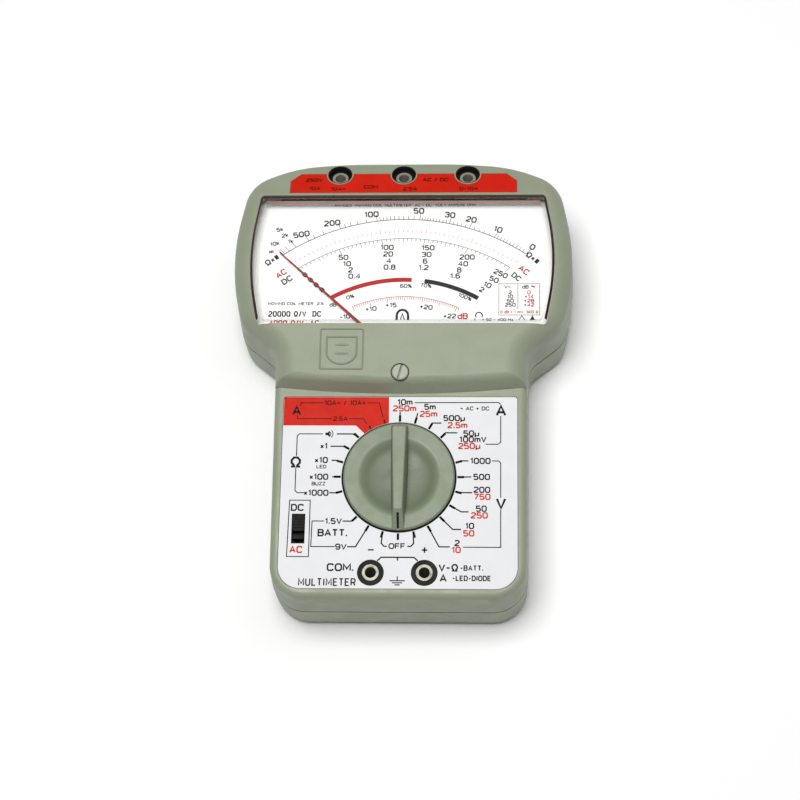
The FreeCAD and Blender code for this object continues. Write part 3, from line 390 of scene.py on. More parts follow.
# extended grotesque drawn with a pen: each letter's width as a share of its height, and its strokes
LETTERS = {
    " ": (0.3, []),
    "0": (0.78, [lozenge(0, 0, 1, 1)]),
    "1": (0.36, [[(0, 0.78), (0.8, 1), (0.8, 0)]]),
    "2": (0.74, [[(0, 0.82), (0.2, 1), (0.8, 1), (1, 0.82), (1, 0.62), (0, 0.14), (0, 0), (1, 0)]]),
    "3": (0.74, [[(0, 0.84), (0.2, 1), (0.8, 1), (1, 0.82), (1, 0.66), (0.8, 0.53), (0.35, 0.53)],
                 [(0.8, 0.53), (1, 0.38), (1, 0.18), (0.8, 0), (0.2, 0), (0, 0.16)]]),
    "4": (0.8, [[(0.76, 0), (0.76, 1), (0, 0.28), (1, 0.28)]]),
    "5": (0.74, [[(0.95, 1), (0.05, 1), (0, 0.56), (0.8, 0.56), (1, 0.4), (1, 0.18), (0.8, 0), (0.2, 0),
                  (0, 0.14)]]),
    "6": (0.76, [SIX]),
    "7": (0.7, [[(0, 1), (1, 1), (0.3, 0)]]),
    "8": (0.76, [lozenge(0, 0, 1, 0.54, 0.16), lozenge(0.06, 0.54, 0.94, 1, 0.15)]),
    "9": (0.76, [[(1 - x, 1 - y) for x, y in SIX]]),
    "A": (0.86, [[(0, 0), (0.5, 1), (1, 0)], [(0.2, 0.32), (0.8, 0.32)]]),
    "B": (0.78, [[(0.8, 0.54), (0.97, 0.68), (0.97, 0.84), (0.8, 1), (0, 1), (0, 0), (0.8, 0), (1, 0.17),
                  (1, 0.38), (0.8, 0.54)], [(0, 0.54), (0.8, 0.54)]]),
    "C": (0.84, [C_BOWL]),
    "D": (0.82, [[(0, 0), (0.72, 0), (1, 0.26), (1, 0.74), (0.72, 1), (0, 1), (0, 0)]]),
    "E": (0.72, [[(1, 1), (0, 1), (0, 0), (1, 0)], [(0, 0.52), (0.85, 0.52)]]),
    "F": (0.7, [[(1, 1), (0, 1), (0, 0)], [(0, 0.5), (0.85, 0.5)]]),
    "G": (0.84, [C_BOWL + [(1, 0.48), (0.55, 0.48)]]),
    "H": (0.8, [[(0, 0), (0, 1)], [(1, 0), (1, 1)], [(0, 0.52), (1, 0.52)]]),
    "I": (0.1, [[(0.5, 0), (0.5, 1)]]),
    "L": (0.66, [[(0, 1), (0, 0), (1, 0)]]),
    "M": (0.98, [[(0, 0), (0, 1), (0.5, 0.25), (1, 1), (1, 0)]]),
    "N": (0.82, [[(0, 0), (0, 1), (1, 0), (1, 1)]]),
    "O": (0.86, [lozenge(0, 0, 1, 1, 0.22)]),
    "P": (0.76, [P_BOWL]),
    "R": (0.78, [P_BOWL, [(0.55, 0.45), (1, 0)]]),
    "S": (0.76, [[(1, 0.84), (0.8, 1), (0.2, 1), (0, 0.84), (0, 0.68), (0.2, 0.54), (0.8, 0.48), (1, 0.34),
                  (1, 0.16), (0.8, 0), (0.2, 0), (0, 0.16)]]),
    "T": (0.76, [[(0, 1), (1, 1)], [(0.5, 1), (0.5, 0)]]),
    "U": (0.8, [[(0, 1), (0, 0.2), (0.2, 0), (0.8, 0), (1, 0.2), (1, 1)]]),
    "V": (0.84, [[(0, 1), (0.5, 0), (1, 1)]]),
    "W": (1.15, [[(0, 1), (0.25, 0), (0.5, 0.8), (0.75, 0), (1, 1)]]),
    "Z": (0.76, [[(0, 1), (1, 1), (0, 0), (1, 0)]]),
    "d": (0.66, [[(1, 1), (1, 0), (0.25, 0), (0, 0.17), (0, 0.5), (0.25, 0.67), (1, 0.67)]]),
    "k": (0.56, [[(0, 0), (0, 1)], [(0.9, 0.68), (0.05, 0.28)], [(0.35, 0.42), (1, 0)]]),
    "m": (0.94, [[(0, 0), (0, 0.68), (0.38, 0.68), (0.5, 0.55), (0.5, 0)],
                 [(0.5, 0.68), (0.88, 0.68), (1, 0.55), (1, 0)]]),
    "z": (0.6, [[(0, 0.68), (1, 0.68), (0, 0), (1, 0)]]),
    "x": (0.5, [[(0, 0.12), (1, 0.66)], [(0, 0.66), (1, 0.12)]]),
    "µ": (0.66, [[(0, -0.3), (0, 0.68)], [(0, 0.16), (0.2, 0), (0.8, 0), (1, 0.16)], [(1, 0.68), (1, 0)]]),
    "Ω": (0.92, [[(0, 0), (0.34, 0), (0.3, 0.16), (0.05, 0.42), (0.05, 0.72), (0.3, 1), (0.7, 1),
                  (0.95, 0.72), (0.95, 0.42), (0.7, 0.16), (0.66, 0), (1, 0)]]),
    "∞": (1.1, [lozenge(0, 0.25, 0.5, 0.75, 0.15), lozenge(0.5, 0.25, 1, 0.75, 0.15)]),
    "%": (0.9, [[(0.1, 0), (0.9, 1)], lozenge(0, 0.6, 0.34, 1, 0.1), lozenge(0.66, 0, 1, 0.4, 0.1)]),
    "+": (0.66, [[(0, 0.46), (1, 0.46)], [(0.5, 0.12), (0.5, 0.8)]]),
    "-": (0.5, [[(0, 0.46), (1, 0.46)]]),
    "=": (0.6, [[(0, 0.62), (1, 0.62)], [(0, 0.3), (1, 0.3)]]),
    "~": (0.66, [[(0, 0.38), (0.25, 0.6), (0.75, 0.34), (1, 0.56)]]),
    ".": (0.08, [[(0.5, -0.06), (0.5, 0.16)]]),
    "/": (0.5, [[(0, -0.05), (1, 1.05)]]),
    "■": (0.7, [[(0, y), (1, y)] for y in (0.12, 0.29, 0.46, 0.63, 0.8)]),
}


# ---------------------------------------------------------------- printing
class Ink:
    """Printing of one colour on one flat surface, gathered as thin solid shapes.

    place takes the surface's own plane, in millimetres, to the part's frame.
    """

    THICKNESS = 0.03

    def __init__(self, place):
        self.place = place
        self.mesh = bmesh.new()

    def point(self, x, y, z):
        return self.mesh.verts.new(self.place @ Vector((x, y, z)))

    def strip(self, left, right, closed=False):
        """Solid band between two rows of points."""
        rows = []
        for (lx, ly), (rx, ry) in zip(left, right):
            rows.append([self.point(lx, ly, self.THICKNESS), self.point(rx, ry, self.THICKNESS),
                         self.point(rx, ry, 0.0), self.point(lx, ly, 0.0)])
        pairs = list(zip(rows, rows[1:]))
        if closed:
            pairs.append((rows[-1], rows[0]))
        for here, there in pairs:
            for i in range(4):
                j = (i + 1) % 4
                self.mesh.faces.new((here[i], there[i], there[j], here[j]))
        if not closed:
            self.mesh.faces.new(rows[0])
            self.mesh.faces.new(reversed(rows[-1]))

    def area(self, points):
        """Filled outline."""
        top = [self.point(x, y, self.THICKNESS) for x, y in points]
        base = [self.point(x, y, 0.0) for x, y in points]
        self.mesh.faces.new(top)
        self.mesh.faces.new(reversed(base))
        for i in range(len(points)):
            j = (i + 1) % len(points)
            self.mesh.faces.new((top[j], top[i], base[i], base[j]))

    def line(self, points, width, closed=False):
        """Line through the points with mitred corners."""
        sides = ([], [])
        count = len(points)
        for i, (x, y) in enumerate(points):
            before = points[i - 1] if i or closed else None
            after = points[(i + 1) % count] if i < count - 1 or closed else None
            runs = []
            for start, end in ((before, (x, y)), ((x, y), after)):
                if start and end:
                    runs.append((Vector(end) - Vector(start)).normalized())
            across = Vector((0, 0))
            for run in runs:
                across += Vector((-run.y, run.x))
            across.normalize()
            reach = width / 2 / max(0.6, across.dot(Vector((-runs[0].y, runs[0].x))))
            sides[0].append((x + across.x * reach, y + across.y * reach))
            sides[1].append((x - across.x * reach, y - across.y * reach))
        self.strip(*sides, closed)

    def arc(self, centre, radius, start, end, width):
        """Arc by degrees clockwise from +Y, in steps of about a millimetre."""
        steps = max(6, int(abs(end - start) * radius / 60))
        points = [polar(centre, radius, start + (end - start) * i / steps) for i in range(steps + 1)]
        self.line(points, width)

    def text(self, words, x, y, height, turn=0.0, stretch=1.0, weight=0.26):
        """Letters of that cap height with their middle at x, y.

        turn is in degrees clockwise, and weight is the pen's width as a share of the height.
        """
        pen = 0.0
        strokes = []
        for letter in words:
            width, paths = LETTERS[letter]
            width *= stretch
            strokes += [[(pen + px * width, py - 0.5) for px, py in path] for path in paths]
            pen += width + LETTER_GAP
        middle = (pen - LETTER_GAP) / 2
        angle = math.radians(turn)
        for path in strokes:
            points = []
            for px, py in path:
                across, along = (px - middle) * height, py * height
                points.append((x + across * math.cos(angle) + along * math.sin(angle),
                               y + along * math.cos(angle) - across * math.sin(angle)))
            closed = path[0] == path[-1]
            self.line(points[:-1] if closed else points, height * weight, closed)

    def done(self, name, material, body="case"):
        bmesh.ops.remove_doubles(self.mesh, verts=self.mesh.verts, dist=1e-7)
        bmesh.ops.recalc_face_normals(self.mesh, faces=self.mesh.faces)
        return finished(name, self.mesh, material, body)


def finished(name, mesh, material, body="case"):
    """Object from a bmesh, with its material, riding on a body."""
    data = bpy.data.meshes.new(name)
    mesh.to_mesh(data)
    mesh.free()
    data.materials.append(material)
    piece = bpy.data.objects.new(name, data)
    bpy.context.scene.collection.objects.link(piece)
    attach(piece, body)
    return piece


def polar(centre, radius, degrees):
    angle = math.radians(degrees)
    return centre[0] + radius * math.sin(angle), centre[1] + radius * math.cos(angle)


def flat_place(x, y, z):
    """Plane parallel to the panel, millimetres from (x, y)."""
    return Matrix.Translation((x, y, z)) @ Matrix.Scale(MM, 4)


def slope_place():
    """The red strip's own plane: origin at its upper edge's middle, y down the slope."""
    down = Vector((0, SLOPE_NORMAL.z, -SLOPE_NORMAL.y))
    axes = Matrix((Vector((1, 0, 0)), down, SLOPE_NORMAL)).transposed().to_4x4()
    return Matrix.Translation((0, STRIP_LOW.y, STRIP_HIGH.z)) @ axes @ Matrix.Scale(MM, 4)


# ---------------------------------------------------------------- the panel's printing
STOP = 15                   # degrees between the selector's positions
LEAD_START = 20.9           # leads start just outside the knob
LEAD_WIDTH = 0.48
TEXT = 1.85                 # cap height of the range numbers
RED_TEXT = 1.9              # and of the red ones
BRACKET_WIDTH = 0.36        # lines that gather ranges under one unit
FINE_WIDTH = 0.34


def leads():
    """Lines from each selector position to its range, as position number and the points that follow."""
    return (
        (0, (0.0, 24.6)),
        (1, (6.4, 24.2)),
        (2, (11.6, 20.4), (15.0, 20.4)),
        (3, (16.4, 16.7), (20.8, 16.7)),
        (5, (22.2, 6.1), (24.8, 6.1)),
        (6, (25.9, 0.1)),
        (7, (23.0, -5.8), (26.2, -5.8)),
        (8, (22.4, -12.9), (25.0, -12.9)),
        (9, (19.4, -19.4), (22.4, -19.4)),
        (10, (14.6, -25.8), (18.4, -25.8)),
        (11, (5.6, -24.6), (4.6, -25.7), (3.4, -25.7)),
        (12, (0.0, -23.4)),
        (13, (-5.9, -24.6), (-4.9, -25.7), (-3.9, -25.7)),
        (14, (-15.0, -25.9), (-18.0, -25.9)),
        (15, (-16.6, -16.5), (-19.8, -16.5)),
        (17, (-22.6, -6.0), (-24.9, -6.0)),
        (18, (-24.0, 0.0)),
        (19, (-22.4, 6.2), (-24.4, 6.2)),
        (20, (-20.4, 11.5), (-24.9, 11.5)),
        (21, (-16.9, 16.2), (-22.8, 16.2)),
    )


def panel_black(material):
    ink = Ink(flat_place(KNOB.x, KNOB.y, LABEL_HIGH.z))
    for stop, *points in leads():
        start = polar((0, 0), LEAD_START, stop * STOP)
        thick = polar((0, 0), LEAD_START + 2.4, stop * STOP)
        ink.line([start, *points], LEAD_WIDTH)
        ink.line([start, thick], LEAD_WIDTH * 1.8)
    ranges = (
        ("10m", 1.7, 28.4), ("5m", 10.8, 26.6), ("500µ", 19.6, 22.3), ("50µ", 25.8, 16.5),
        ("100mV", 26.4, 14.2), ("1000", 29.1, 6.1), ("500", 29.6, 0.1), ("200", 29.7, -4.7),
        ("50", 29.5, -11.7), ("10", 25.4, -18.1), ("2", 21.0, -24.4), ("x1", -27.3, 11.6),
        ("x10", -28.1, 6.3), ("x100", -28.8, 0.0), ("x1000", -29.6, -6.0),
    )
    for words, x, y in ranges:
        ink.text(words, x, y, TEXT)
    for words, x, y, height, stretch in (
        ("OFF", -0.3, -25.6, 1.7, 1.15), ("1.5V", -23.1, -16.5, 1.8, 1.05), ("9V", -20.2, -25.9, 1.8, 1.05),
        ("BATT.", -23.3, -20.8, 2.2, 1.0), ("LED", -28.0, 3.8, 1.1, 1.05), ("BUZZ", -28.8, -2.6, 1.1, 1.05),
        ("COM.", -20.2, -33.4, 2.3, 1.05), ("V-Ω", 18.0, -33.4, 2.2, 1.0), ("-BATT.", 26.2, -33.5, 1.6, 0.85),
        ("A", 16.2, -37.2, 2.3, 1.0), ("-LED-DIODE", 26.2, -37.2, 1.6, 0.8), ("DC", -36.1, -11.5, 2.1, 1.0),
        ("~ AC + DC", 27.0, 26.0, 1.2, 1.05),
    ):
        ink.text(words, x, y, height, stretch=stretch)
    ink.text("MULTIMETER", -24.8, -38.8, 2.4, stretch=0.72, weight=0.2)

    for letter, y in (("A", 25.2), ("V", -9.8)):
        ink.text(letter, 36.5, y, 3.5, weight=0.24)
    ink.text("Ω", -37.3, 5.5, 3.4, stretch=1.05, weight=0.24)
    for points in (
        [(5.2, 28.2), (35.6, 28.3), (36.4, 27.6)],
        [(36.4, 23.2), (36.4, 13.2), (35.4, 12.4), (31.0, 12.4)],
        [(33.2, 6.1), (35.6, 6.1), (36.4, 5.3), (36.4, -7.6)],
        [(36.4, -12.1), (36.4, -25.9), (23.0, -25.9)],
        [(-27.8, 16.2), (-36.3, 16.2), (-37.1, 15.4), (-37.1, 7.8)],
        [(-37.2, 3.2), (-37.2, -5.2), (-36.4, -6.0), (-33.9, -6.0)],
        [(-26.4, -16.5), (-30.7, -16.5), (-30.9, -25.9), (-22.3, -25.9)],
    ):
        ink.line(points, BRACKET_WIDTH)

    for i in range(2):                          # sounder symbol: a cone and two waves
        ink.arc((-25.9, 16.2), 1.0 + 0.75 * i, 40, 140, 0.3)
    ink.area([(-26.9, 15.7), (-26.1, 15.7), (-25.3, 14.9), (-25.3, 17.5), (-26.1, 16.7), (-26.9, 16.7)])

    sign_width = 0.55
    for x in (-9.5, 9.5):                       # minus and plus over the lower sockets
        ink.line([(x - 1.0, -27.0), (x + 1.0, -27.0)], sign_width)
    ink.line([(9.5, -28.0), (9.5, -26.0)], sign_width)
    ink.line([(-7.2, -31.0), (-5.8, -29.7), (5.8, -29.7), (7.2, -31.0)], 0.5)
    ink.line([(0, -29.7), (0, -30.9)], 0.5)
    ink.line([(0, -36.6), (0, -38.2)], 0.4)     # earth symbol
    for i, half in enumerate((2.7, 1.8, 0.9)):
        ink.line([(-half, -38.2 - 0.75 * i), (half, -38.2 - 0.75 * i)], 0.4)
    return ink.done("panel_print_black", material)


def panel_red(material):
    ink = Ink(flat_place(KNOB.x, KNOB.y, LABEL_HIGH.z))
    ranges = (
        ("250m", 1.6, 26.0), ("25m", 10.3, 23.9), ("2.5m", 20.8, 19.6), ("250µ", 25.1, 11.7),
        ("750", 29.8, -7.3), ("250", 28.8, -14.2), ("50", 25.1, -20.8), ("10", 20.7, -26.9),
    )
    for words, x, y in ranges:
        ink.text(words, x, y, RED_TEXT)
    ink.text("AC", -36.1, -27.0, 2.1)
    return ink.done("panel_print_red", material)


def red_corner(material):
    """The red field of the high current ranges, at the label's upper left corner."""
    ink = Ink(flat_place(KNOB.x, KNOB.y, LABEL_HIGH.z))
    left = (LABEL_LOW.x - KNOB.x) / MM + 0.1
    top = (LABEL_HIGH.y - KNOB.y) / MM - 0.1
    edge = [polar((0, 0), LEAD_START - 0.15, degrees) for degrees in range(-38, -8, 3)]
    ink.area([(left, 19.4), (-15.9, 19.4), *edge, (-4.1, top), (left + 0.5, top), (left, top - 0.5)])
    return ink.done("red_corner", material)


def corner_marks(material):
    """Dark lettering over the red corner."""
    ink = Ink(flat_place(KNOB.x, KNOB.y, LABEL_HIGH.z + Ink.THICKNESS * MM))
    ink.text("A", -37.6, 25.1, 3.0)
    for stop in (22, 23):
        ink.line([polar((0, 0), LEAD_START, stop * STOP), polar((0, 0), LEAD_START + 1.4, stop * STOP)], 0.6)
    return ink.done("red_corner_letter", material)


def corner_lines(material):
    """Fine dark red lines and range texts on the red corner."""
    ink = Ink(flat_place(KNOB.x, KNOB.y, LABEL_HIGH.z + Ink.THICKNESS * MM))
    for points in (
        [(-36.3, 26.9), (-36.0, 28.1), (-28.0, 28.1)],
        [(-12.2, 28.1), (-7.6, 28.1), (-6.2, 22.6)],
        [(-37.4, 23.2), (-37.2, 22.0), (-24.6, 22.0)],
        [(-18.6, 22.0), (-13.2, 22.0), (-12.0, 20.0)],
    ):
        ink.line(points, FINE_WIDTH)
    ink.text("10A~ / 10A=", -20.1, 28.1, 1.5)
    ink.text("2.5A", -21.6, 22.0, 1.4, stretch=1.05)
    return ink.done("red_corner_lines", material)


def switch_frame(material):
    """Thin printed frame around the AC/DC slide."""
    ink = Ink(flat_place(KNOB.x, KNOB.y, LABEL_HIGH.z))
    ink.line([(-39.4, -29.6), (-31.6, -29.6), (-31.6, -8.8), (-39.0, -8.8)], FINE_WIDTH, closed=True)
    return ink.done("slide_frame_print", material)


def grip_line(material):
    """Dark line in the groove of the knob's grip bar, which points at the range."""
    ink = Ink(flat_place(KNOB.x, KNOB.y, RIM - 0.35 * MM))
    ink.line([(0, -19.4), (0, -14.9)], 0.8)
    return ink.done("grip_line", material, body="range_knob")


def strip_marks(material):
    """Small lettering on the red strip at the head end."""
    ink = Ink(slope_place())
    for words, x, y in (("10A", -33.2, 2.4), ("10A=", -24.4, 2.0), ("COM.", -11.9, 3.0), ("2.5A", 2.5, 1.9),
                        ("0-10A", 24.5, 2.0), ("250V", -33.6, 6.6), ("AC / DC", 12.0, 6.6)):
        ink.text(words, x, y, 1.4, stretch=1.05)
    return ink.done("strip_print", material)


# ---------------------------------------------------------------- the dial's printing
ARC_CENTRE = (0.6, -17.7)   # common centre of all the scales, in the part's frame
OHM_RADIUS, AC_RADIUS, DC_RADIUS = 78.7, 73.6, 70.9
BAND_RADIUS, DECIBEL_RADIUS = 54.2, 47.5
BAND_WIDTH = 1.7
DECIBEL_START, DECIBEL_END = -23.5, 25.5    # degrees clockwise from +Y
TABLE = (35.7, 42.7, 50.7, 22.4, 34.8)      # left, middle and right, low and high
TABLE_TEXT = 1.2
SWEEP = 47.1                # the pointer's angle at each end, from +Y


def table_row(i):
    """Middle height of a row of the decibel table, counted from its top."""
    return TABLE[4] - 3.4 - 1.65 * i


def dial_place():
    return flat_place(0, 0, DIAL_HIGH.z)


def on_scale(share, radius):
    """Where the pointer at that share of its travel crosses a scale circle."""
    angle = math.radians(SWEEP * (2 * share - 1))
    direction = Vector((math.sin(angle), math.cos(angle)))
    pivot = Vector((PIVOT.x / MM, PIVOT.y / MM))
    offset = pivot - Vector(ARC_CENTRE)
    along = offset.dot(direction)
    reach = -along + math.sqrt(along * along - offset.length_squared + radius * radius)
    return pivot + direction * reach, direction


def tick(ink, share, radius, outwards, width=0.2):
    place, direction = on_scale(share, radius)
    ink.line([tuple(place), tuple(place + direction * outwards)], width)


def scale_arc(ink, radius, width, low=0.0, high=1.0):
    steps = 72
    points = [tuple(on_scale(low + (high - low) * i / steps, radius)[0]) for i in range(steps + 1)]
    ink.line(points, width)


def ohm_share(value):
    """Share of the travel for a resistance on the ohm scale, whose middle is 65."""
    return 65 / (65 + value)


def ohm_ticks():
    """Resistances to mark, with the length of each tick."""
    for start, end, step, length in ((0, 10, 1, 1.3), (10, 30, 2, 1.1), (30, 50, 2, 1.2), (50, 100, 5, 1.5),
                                     (100, 200, 20, 1.5), (200, 500, 100, 1.5)):
        for i in range((end - start) // step):
            yield start + i * step, length
    for value in (0, 10, 20, 30, 50, 100, 200, 500, 1000, 2000, 5000, 10000):
        yield value, 2.6


def dial_black(material):
    ink = Ink(dial_place())
    scale_arc(ink, OHM_RADIUS, 0.28)
    for value, length in ohm_ticks():
        tick(ink, ohm_share(value), OHM_RADIUS, length)
    scale_arc(ink, DC_RADIUS, 0.2)
    for i in range(51):
        length = 2.4 if i % 10 == 0 else 1.8 if i % 5 == 0 else 1.1
        tick(ink, i / 50, DC_RADIUS, -length)
    ink.arc(ARC_CENTRE, BAND_RADIUS, 8.0, 30.4, BAND_WIDTH)

    for words, x, y, turn in (
        ("500", -38.2, 55.0, -10), ("200", -26.8, 59.6, -6), ("100", -12.1, 63.1, -3), ("50", 5.7, 64.5, 0),
        ("30", 17.4, 62.8, 6), ("20", 25.4, 60.9, 10), ("10", 35.4, 56.8, 18), ("0", 48.2, 49.6, 32),
    ):
        ink.text(words, x, y, 1.9, turn)
    for words, x, y in (("1k", -42.2, 52.2), ("2k", -44.4, 54.6), ("5k", -46.4, 57.0), ("10k", -48.1, 51.2),
                        ("∞", -49.3, 47.9)):
        ink.text(words, x, y, 1.35, -12)
    columns = (
        (("50", -22.2, 45.6), ("10", -20.8, 43.0), ("2", -19.4, 40.5), ("0.4", -17.9, 38.0)),
        (("100", -6.0, 49.6), ("20", -5.5, 46.9), ("4", -5.2, 44.2), ("0.8", -4.9, 41.6)),
        (("150", 9.3, 49.4), ("30", 8.8, 46.7), ("6", 8.3, 44.0), ("1.2", 7.8, 41.4)),
        (("200", 23.9, 45.6), ("40", 22.4, 42.9), ("8", 21.0, 40.4), ("1.6", 19.5, 38.0)),
    )
    for column in columns:
        for words, x, y in column:
            ink.text(words, x, y, 1.7, stretch=1.05)
    for words, x, y in (("250", 36.4, 38.9), ("50", 33.9, 36.6), ("10", 31.5, 34.4), ("2", 29.4, 32.5)):
        ink.text(words, x, y, 1.7, 26)
    for x, y in ((-36.4, 38.6), (-34.2, 36.5), (-32.0, 34.5), (-29.8, 32.5)):
        ink.text("0", x, y, 1.6, -44)
    for x, y, turn in ((-48.9, 44.6, -35), (48.3, 45.2, 40)):
        ink.text("Ωx■", x, y, 1.9, turn)
    ink.text("DC", -43.0, 36.5, 1.9, -35)
    ink.text("DC", 42.2, 37.6, 1.7, 40)
    for words, x, y, turn in (("60%", 1.3, 34.0, 0), ("70%", 8.7, 34.2, 8), ("100%", 23.2, 29.6, 24),
                              ("0%", -19.3, 29.7, -18), ("dB", -25.6, 26.6, 0)):
        ink.text(words, x, y, 1.25, turn, stretch=1.05)
    for words, x, y, turn in (("-10", -21.0, 21.8, -8), ("+10", -11.5, 24.9, -6), ("+15", -4.1, 26.4, 0),
                              ("+20", 8.9, 25.6, 6), ("+22", 17.6, 22.0, 0)):
        ink.text(words, x, y, 1.5, turn, stretch=1.05)
    ink.text("20000 Ω/V  DC", -39.6, 22.9, 1.8, stretch=0.76)
    ink.text("MOVING COIL METER  2.5", -39.4, 27.0, 0.95, stretch=1.05)
    ink.text("RANGES  MOVING COIL MULTIMETER  AC - DC  VOLT AMPERE OHM", 0.6, 66.9, 0.95, weight=0.2)

    ink.arc((28.4, 22.2), 1.3, -120, 120, 0.45)         # moving-coil symbol
    ink.line([(26.9, 21.0), (26.9, 20.3)], 0.4)
    ink.line([(29.9, 21.0), (29.9, 20.3)], 0.4)
    ink.text("50 - 400 Hz", 36.0, 20.6, 0.95, stretch=1.05)
    ink.line([(43.0, 20.4), (44.1, 22.1), (45.2, 20.4)], 0.3)
    ink.area([(47.0, 20.4), (49.0, 20.4), (48.0, 22.3)])

    ink.arc((0.2, 22.4), 2.1, -90, 90, 0.9)             # magnet and coil, where the maker's sign was
    ink.line([(-1.9, 22.4), (-1.9, 20.4)], 0.9)
    ink.line([(2.3, 22.4), (2.3, 20.4)], 0.9)
    ink.line([(-0.5, 20.6), (0.2, 22.9), (0.9, 20.6)], 0.5)

    frame_width = 0.2                                   # table of decibel corrections
    left, middle, right, low, high = TABLE
    ink.line([(left, low), (right, low), (right, high), (left, high)], frame_width, closed=True)
    ink.line([(middle, low + 2.4), (middle, high)], frame_width)
    ink.text("V~", middle - 3.8, high - 1.2, 1.15, stretch=1.05)
    ink.text("dB", middle + 2.8, high - 1.2, 1.15, stretch=1.05)
    for i, words in enumerate(("2", "10", "50", "250")):
        ink.text(words, middle - 2.8, table_row(i), TABLE_TEXT, stretch=1.05)
    return ink.done("dial_print_black", material)


def dial_red(material):
    ink = Ink(dial_place())
    ink.arc(ARC_CENTRE, BAND_RADIUS, -29.6, 3.0, BAND_WIDTH)
    ink.arc(ARC_CENTRE, DECIBEL_RADIUS, DECIBEL_START, DECIBEL_END, 0.2)
    for i in range(50):
        degrees = DECIBEL_START + i
        start = polar(ARC_CENTRE, DECIBEL_RADIUS, degrees)
        end = polar(ARC_CENTRE, DECIBEL_RADIUS - (2.0 if i % 8 == 0 else 1.2), degrees)
        ink.line([start, end], 0.22)
    ink.text("AC", -45.3, 39.1, 1.9, -35)
    ink.text("AC", 45.0, 40.3, 1.9, 40)
    ink.text("dB", 22.4, 22.0, 1.9)
    ink.text("4000 Ω/V  AC", -39.8, 19.3, 1.8, stretch=0.8)
    middle, high = TABLE[1], TABLE[4]
    ink.text("~", middle + 5.6, high - 1.0, 1.9, stretch=1.05)
    for i, words in enumerate(("0", "+14", "+28", "+42")):
        ink.text(words, middle + 4.1, table_row(i), TABLE_TEXT, stretch=1.05)
    ink.text("0 dB = 1 mW  600 Ω", middle + 0.5, TABLE[3] + 1.2, 0.9, stretch=0.9)
    return ink.done("dial_print_red", material)


def dial_fine(material):
    """The AC scale, a finer and paler red than the rest."""
    ink = Ink(dial_place())
    for i in range(0, 101, 2):
        low, high = max((i - 0.3) / 100, 0), min((i + 0.3) / 100, 1)
        ink.line([tuple(on_scale(share, AC_RADIUS)[0]) for share in (low, high)], 0.2)
    for i in range(51):
        tick(ink, i / 50, AC_RADIUS, 1.7 if i % 10 == 0 else 0.9, 0.16)
    return ink.done("dial_print_fine", material)


# ---------------------------------------------------------------- trim
def outline_at(node, z, tolerance=0.02 * MM):
    """Outer outline of a CAD node's vertices at a height, which is convex there, clockwise from above."""
    points = sorted({(round(v.co.x, 6), round(v.co.y, 6)) for v in nodes[node].data.vertices
                     if abs(v.co.z - z) < tolerance})
    halves = []
    for row in (points, points[::-1]):
        hull = []
        for x, y in row:
            while len(hull) > 1:
                (ax, ay), (bx, by) = hull[-2:]
                if (bx - ax) * (y - ay) - (by - ay) * (x - ax) < -1e-9:
                    break
                hull.pop()
            hull.append((x, y))
        halves += hull[:-1]
    return [Vector(point) for point in halves]


def pushed_out(outline, distance):
    """Closed clockwise outline, moved outwards."""
    moved = []
    for i, point in enumerate(outline):
        before = (point - outline[i - 1]).normalized()
        after = (outline[(i + 1) % len(outline)] - point).normalized()
        across = Vector((-before.y - after.y, before.x + after.x)).normalized()
        moved.append(point + across * distance / max(0.3, across.dot(Vector((-before.y, before.x)))))
    return moved


def band(name, rows, material, closed=True):
    """Surface through rows of points that all have the same length, closed back to the first row."""
    mesh = bmesh.new()
    made = [[mesh.verts.new(point) for point in row] for row in rows]
    count = len(rows[0])
    for here, there in zip(made, made[1:] + made[:1]):
        for i in range(count if closed else count - 1):
            j = (i + 1) % count
            mesh.faces.new((here[i], here[j], there[j], there[i]))
    if not closed:
        mesh.faces.new([row[0] for row in made])
        mesh.faces.new([row[-1] for row in reversed(made)])
    bmesh.ops.recalc_face_normals(mesh, faces=mesh.faces)
    return finished(name, mesh, material)


def at_height(outline, z):
    return [Vector((point.x, point.y, z)) for point in outline]


def window_edge(material):
    """Painted shade line round the cover's sides and top, on its bevel, for the dark gap at the cover's edge; the
    lower edge has none.

    The top line is wider than the others: it starts further in.
    """
    width, drop, lift, widening = 0.92 * MM, 0.9 * MM, 0.03 * MM, 0.7 * MM
    ring = outline_at("meter_window", WINDOW_TOP)
    outer = pushed_out(ring, width)
    low_y = min(point.y for point in ring) + 0.3 * MM
    upper = [i for i in range(len(ring)) if ring[i].y > low_y]
    first = next(i for i in upper if ring[i - 1].y <= low_y)
    order = [(first + i) % len(ring) for i in range(len(upper))]
    inner, outer = [ring[i] for i in order], [outer[i] for i in order]
    top_y = max(point.y for point in ring)
    inner = [point - Vector((0, widening)) if point.y > top_y - 0.2 * MM else point for point in inner]
    rows = [at_height(inner, WINDOW_TOP - 0.005 * MM), at_height(outer, WINDOW_TOP - drop + lift),
            at_height(outer, WINDOW_TOP - drop), at_height(inner, WINDOW_TOP - 0.02 * MM)]
    return band("window_edge_shade", rows, material, closed=False)


def window_wall(material):
    """Pale pink band high on the cover's far wall, seen through the cover."""
    half, wall, thickness = 51.2 * MM, 0.85 * MM, 0.12 * MM
    far = max(point.y for point in outline_at("meter_window", WINDOW_TOP)) - wall
    near = far - thickness
    low, high = WINDOW_TOP - 4.7 * MM, WINDOW_TOP - 2.25 * MM
    rows = [[Vector((x, y, z)) for x in (-half, 0.0, half)]
            for y, z in ((far, high), (far, low), (near, low), (near, high))]
    return band("window_wall_line", rows, material, closed=False)


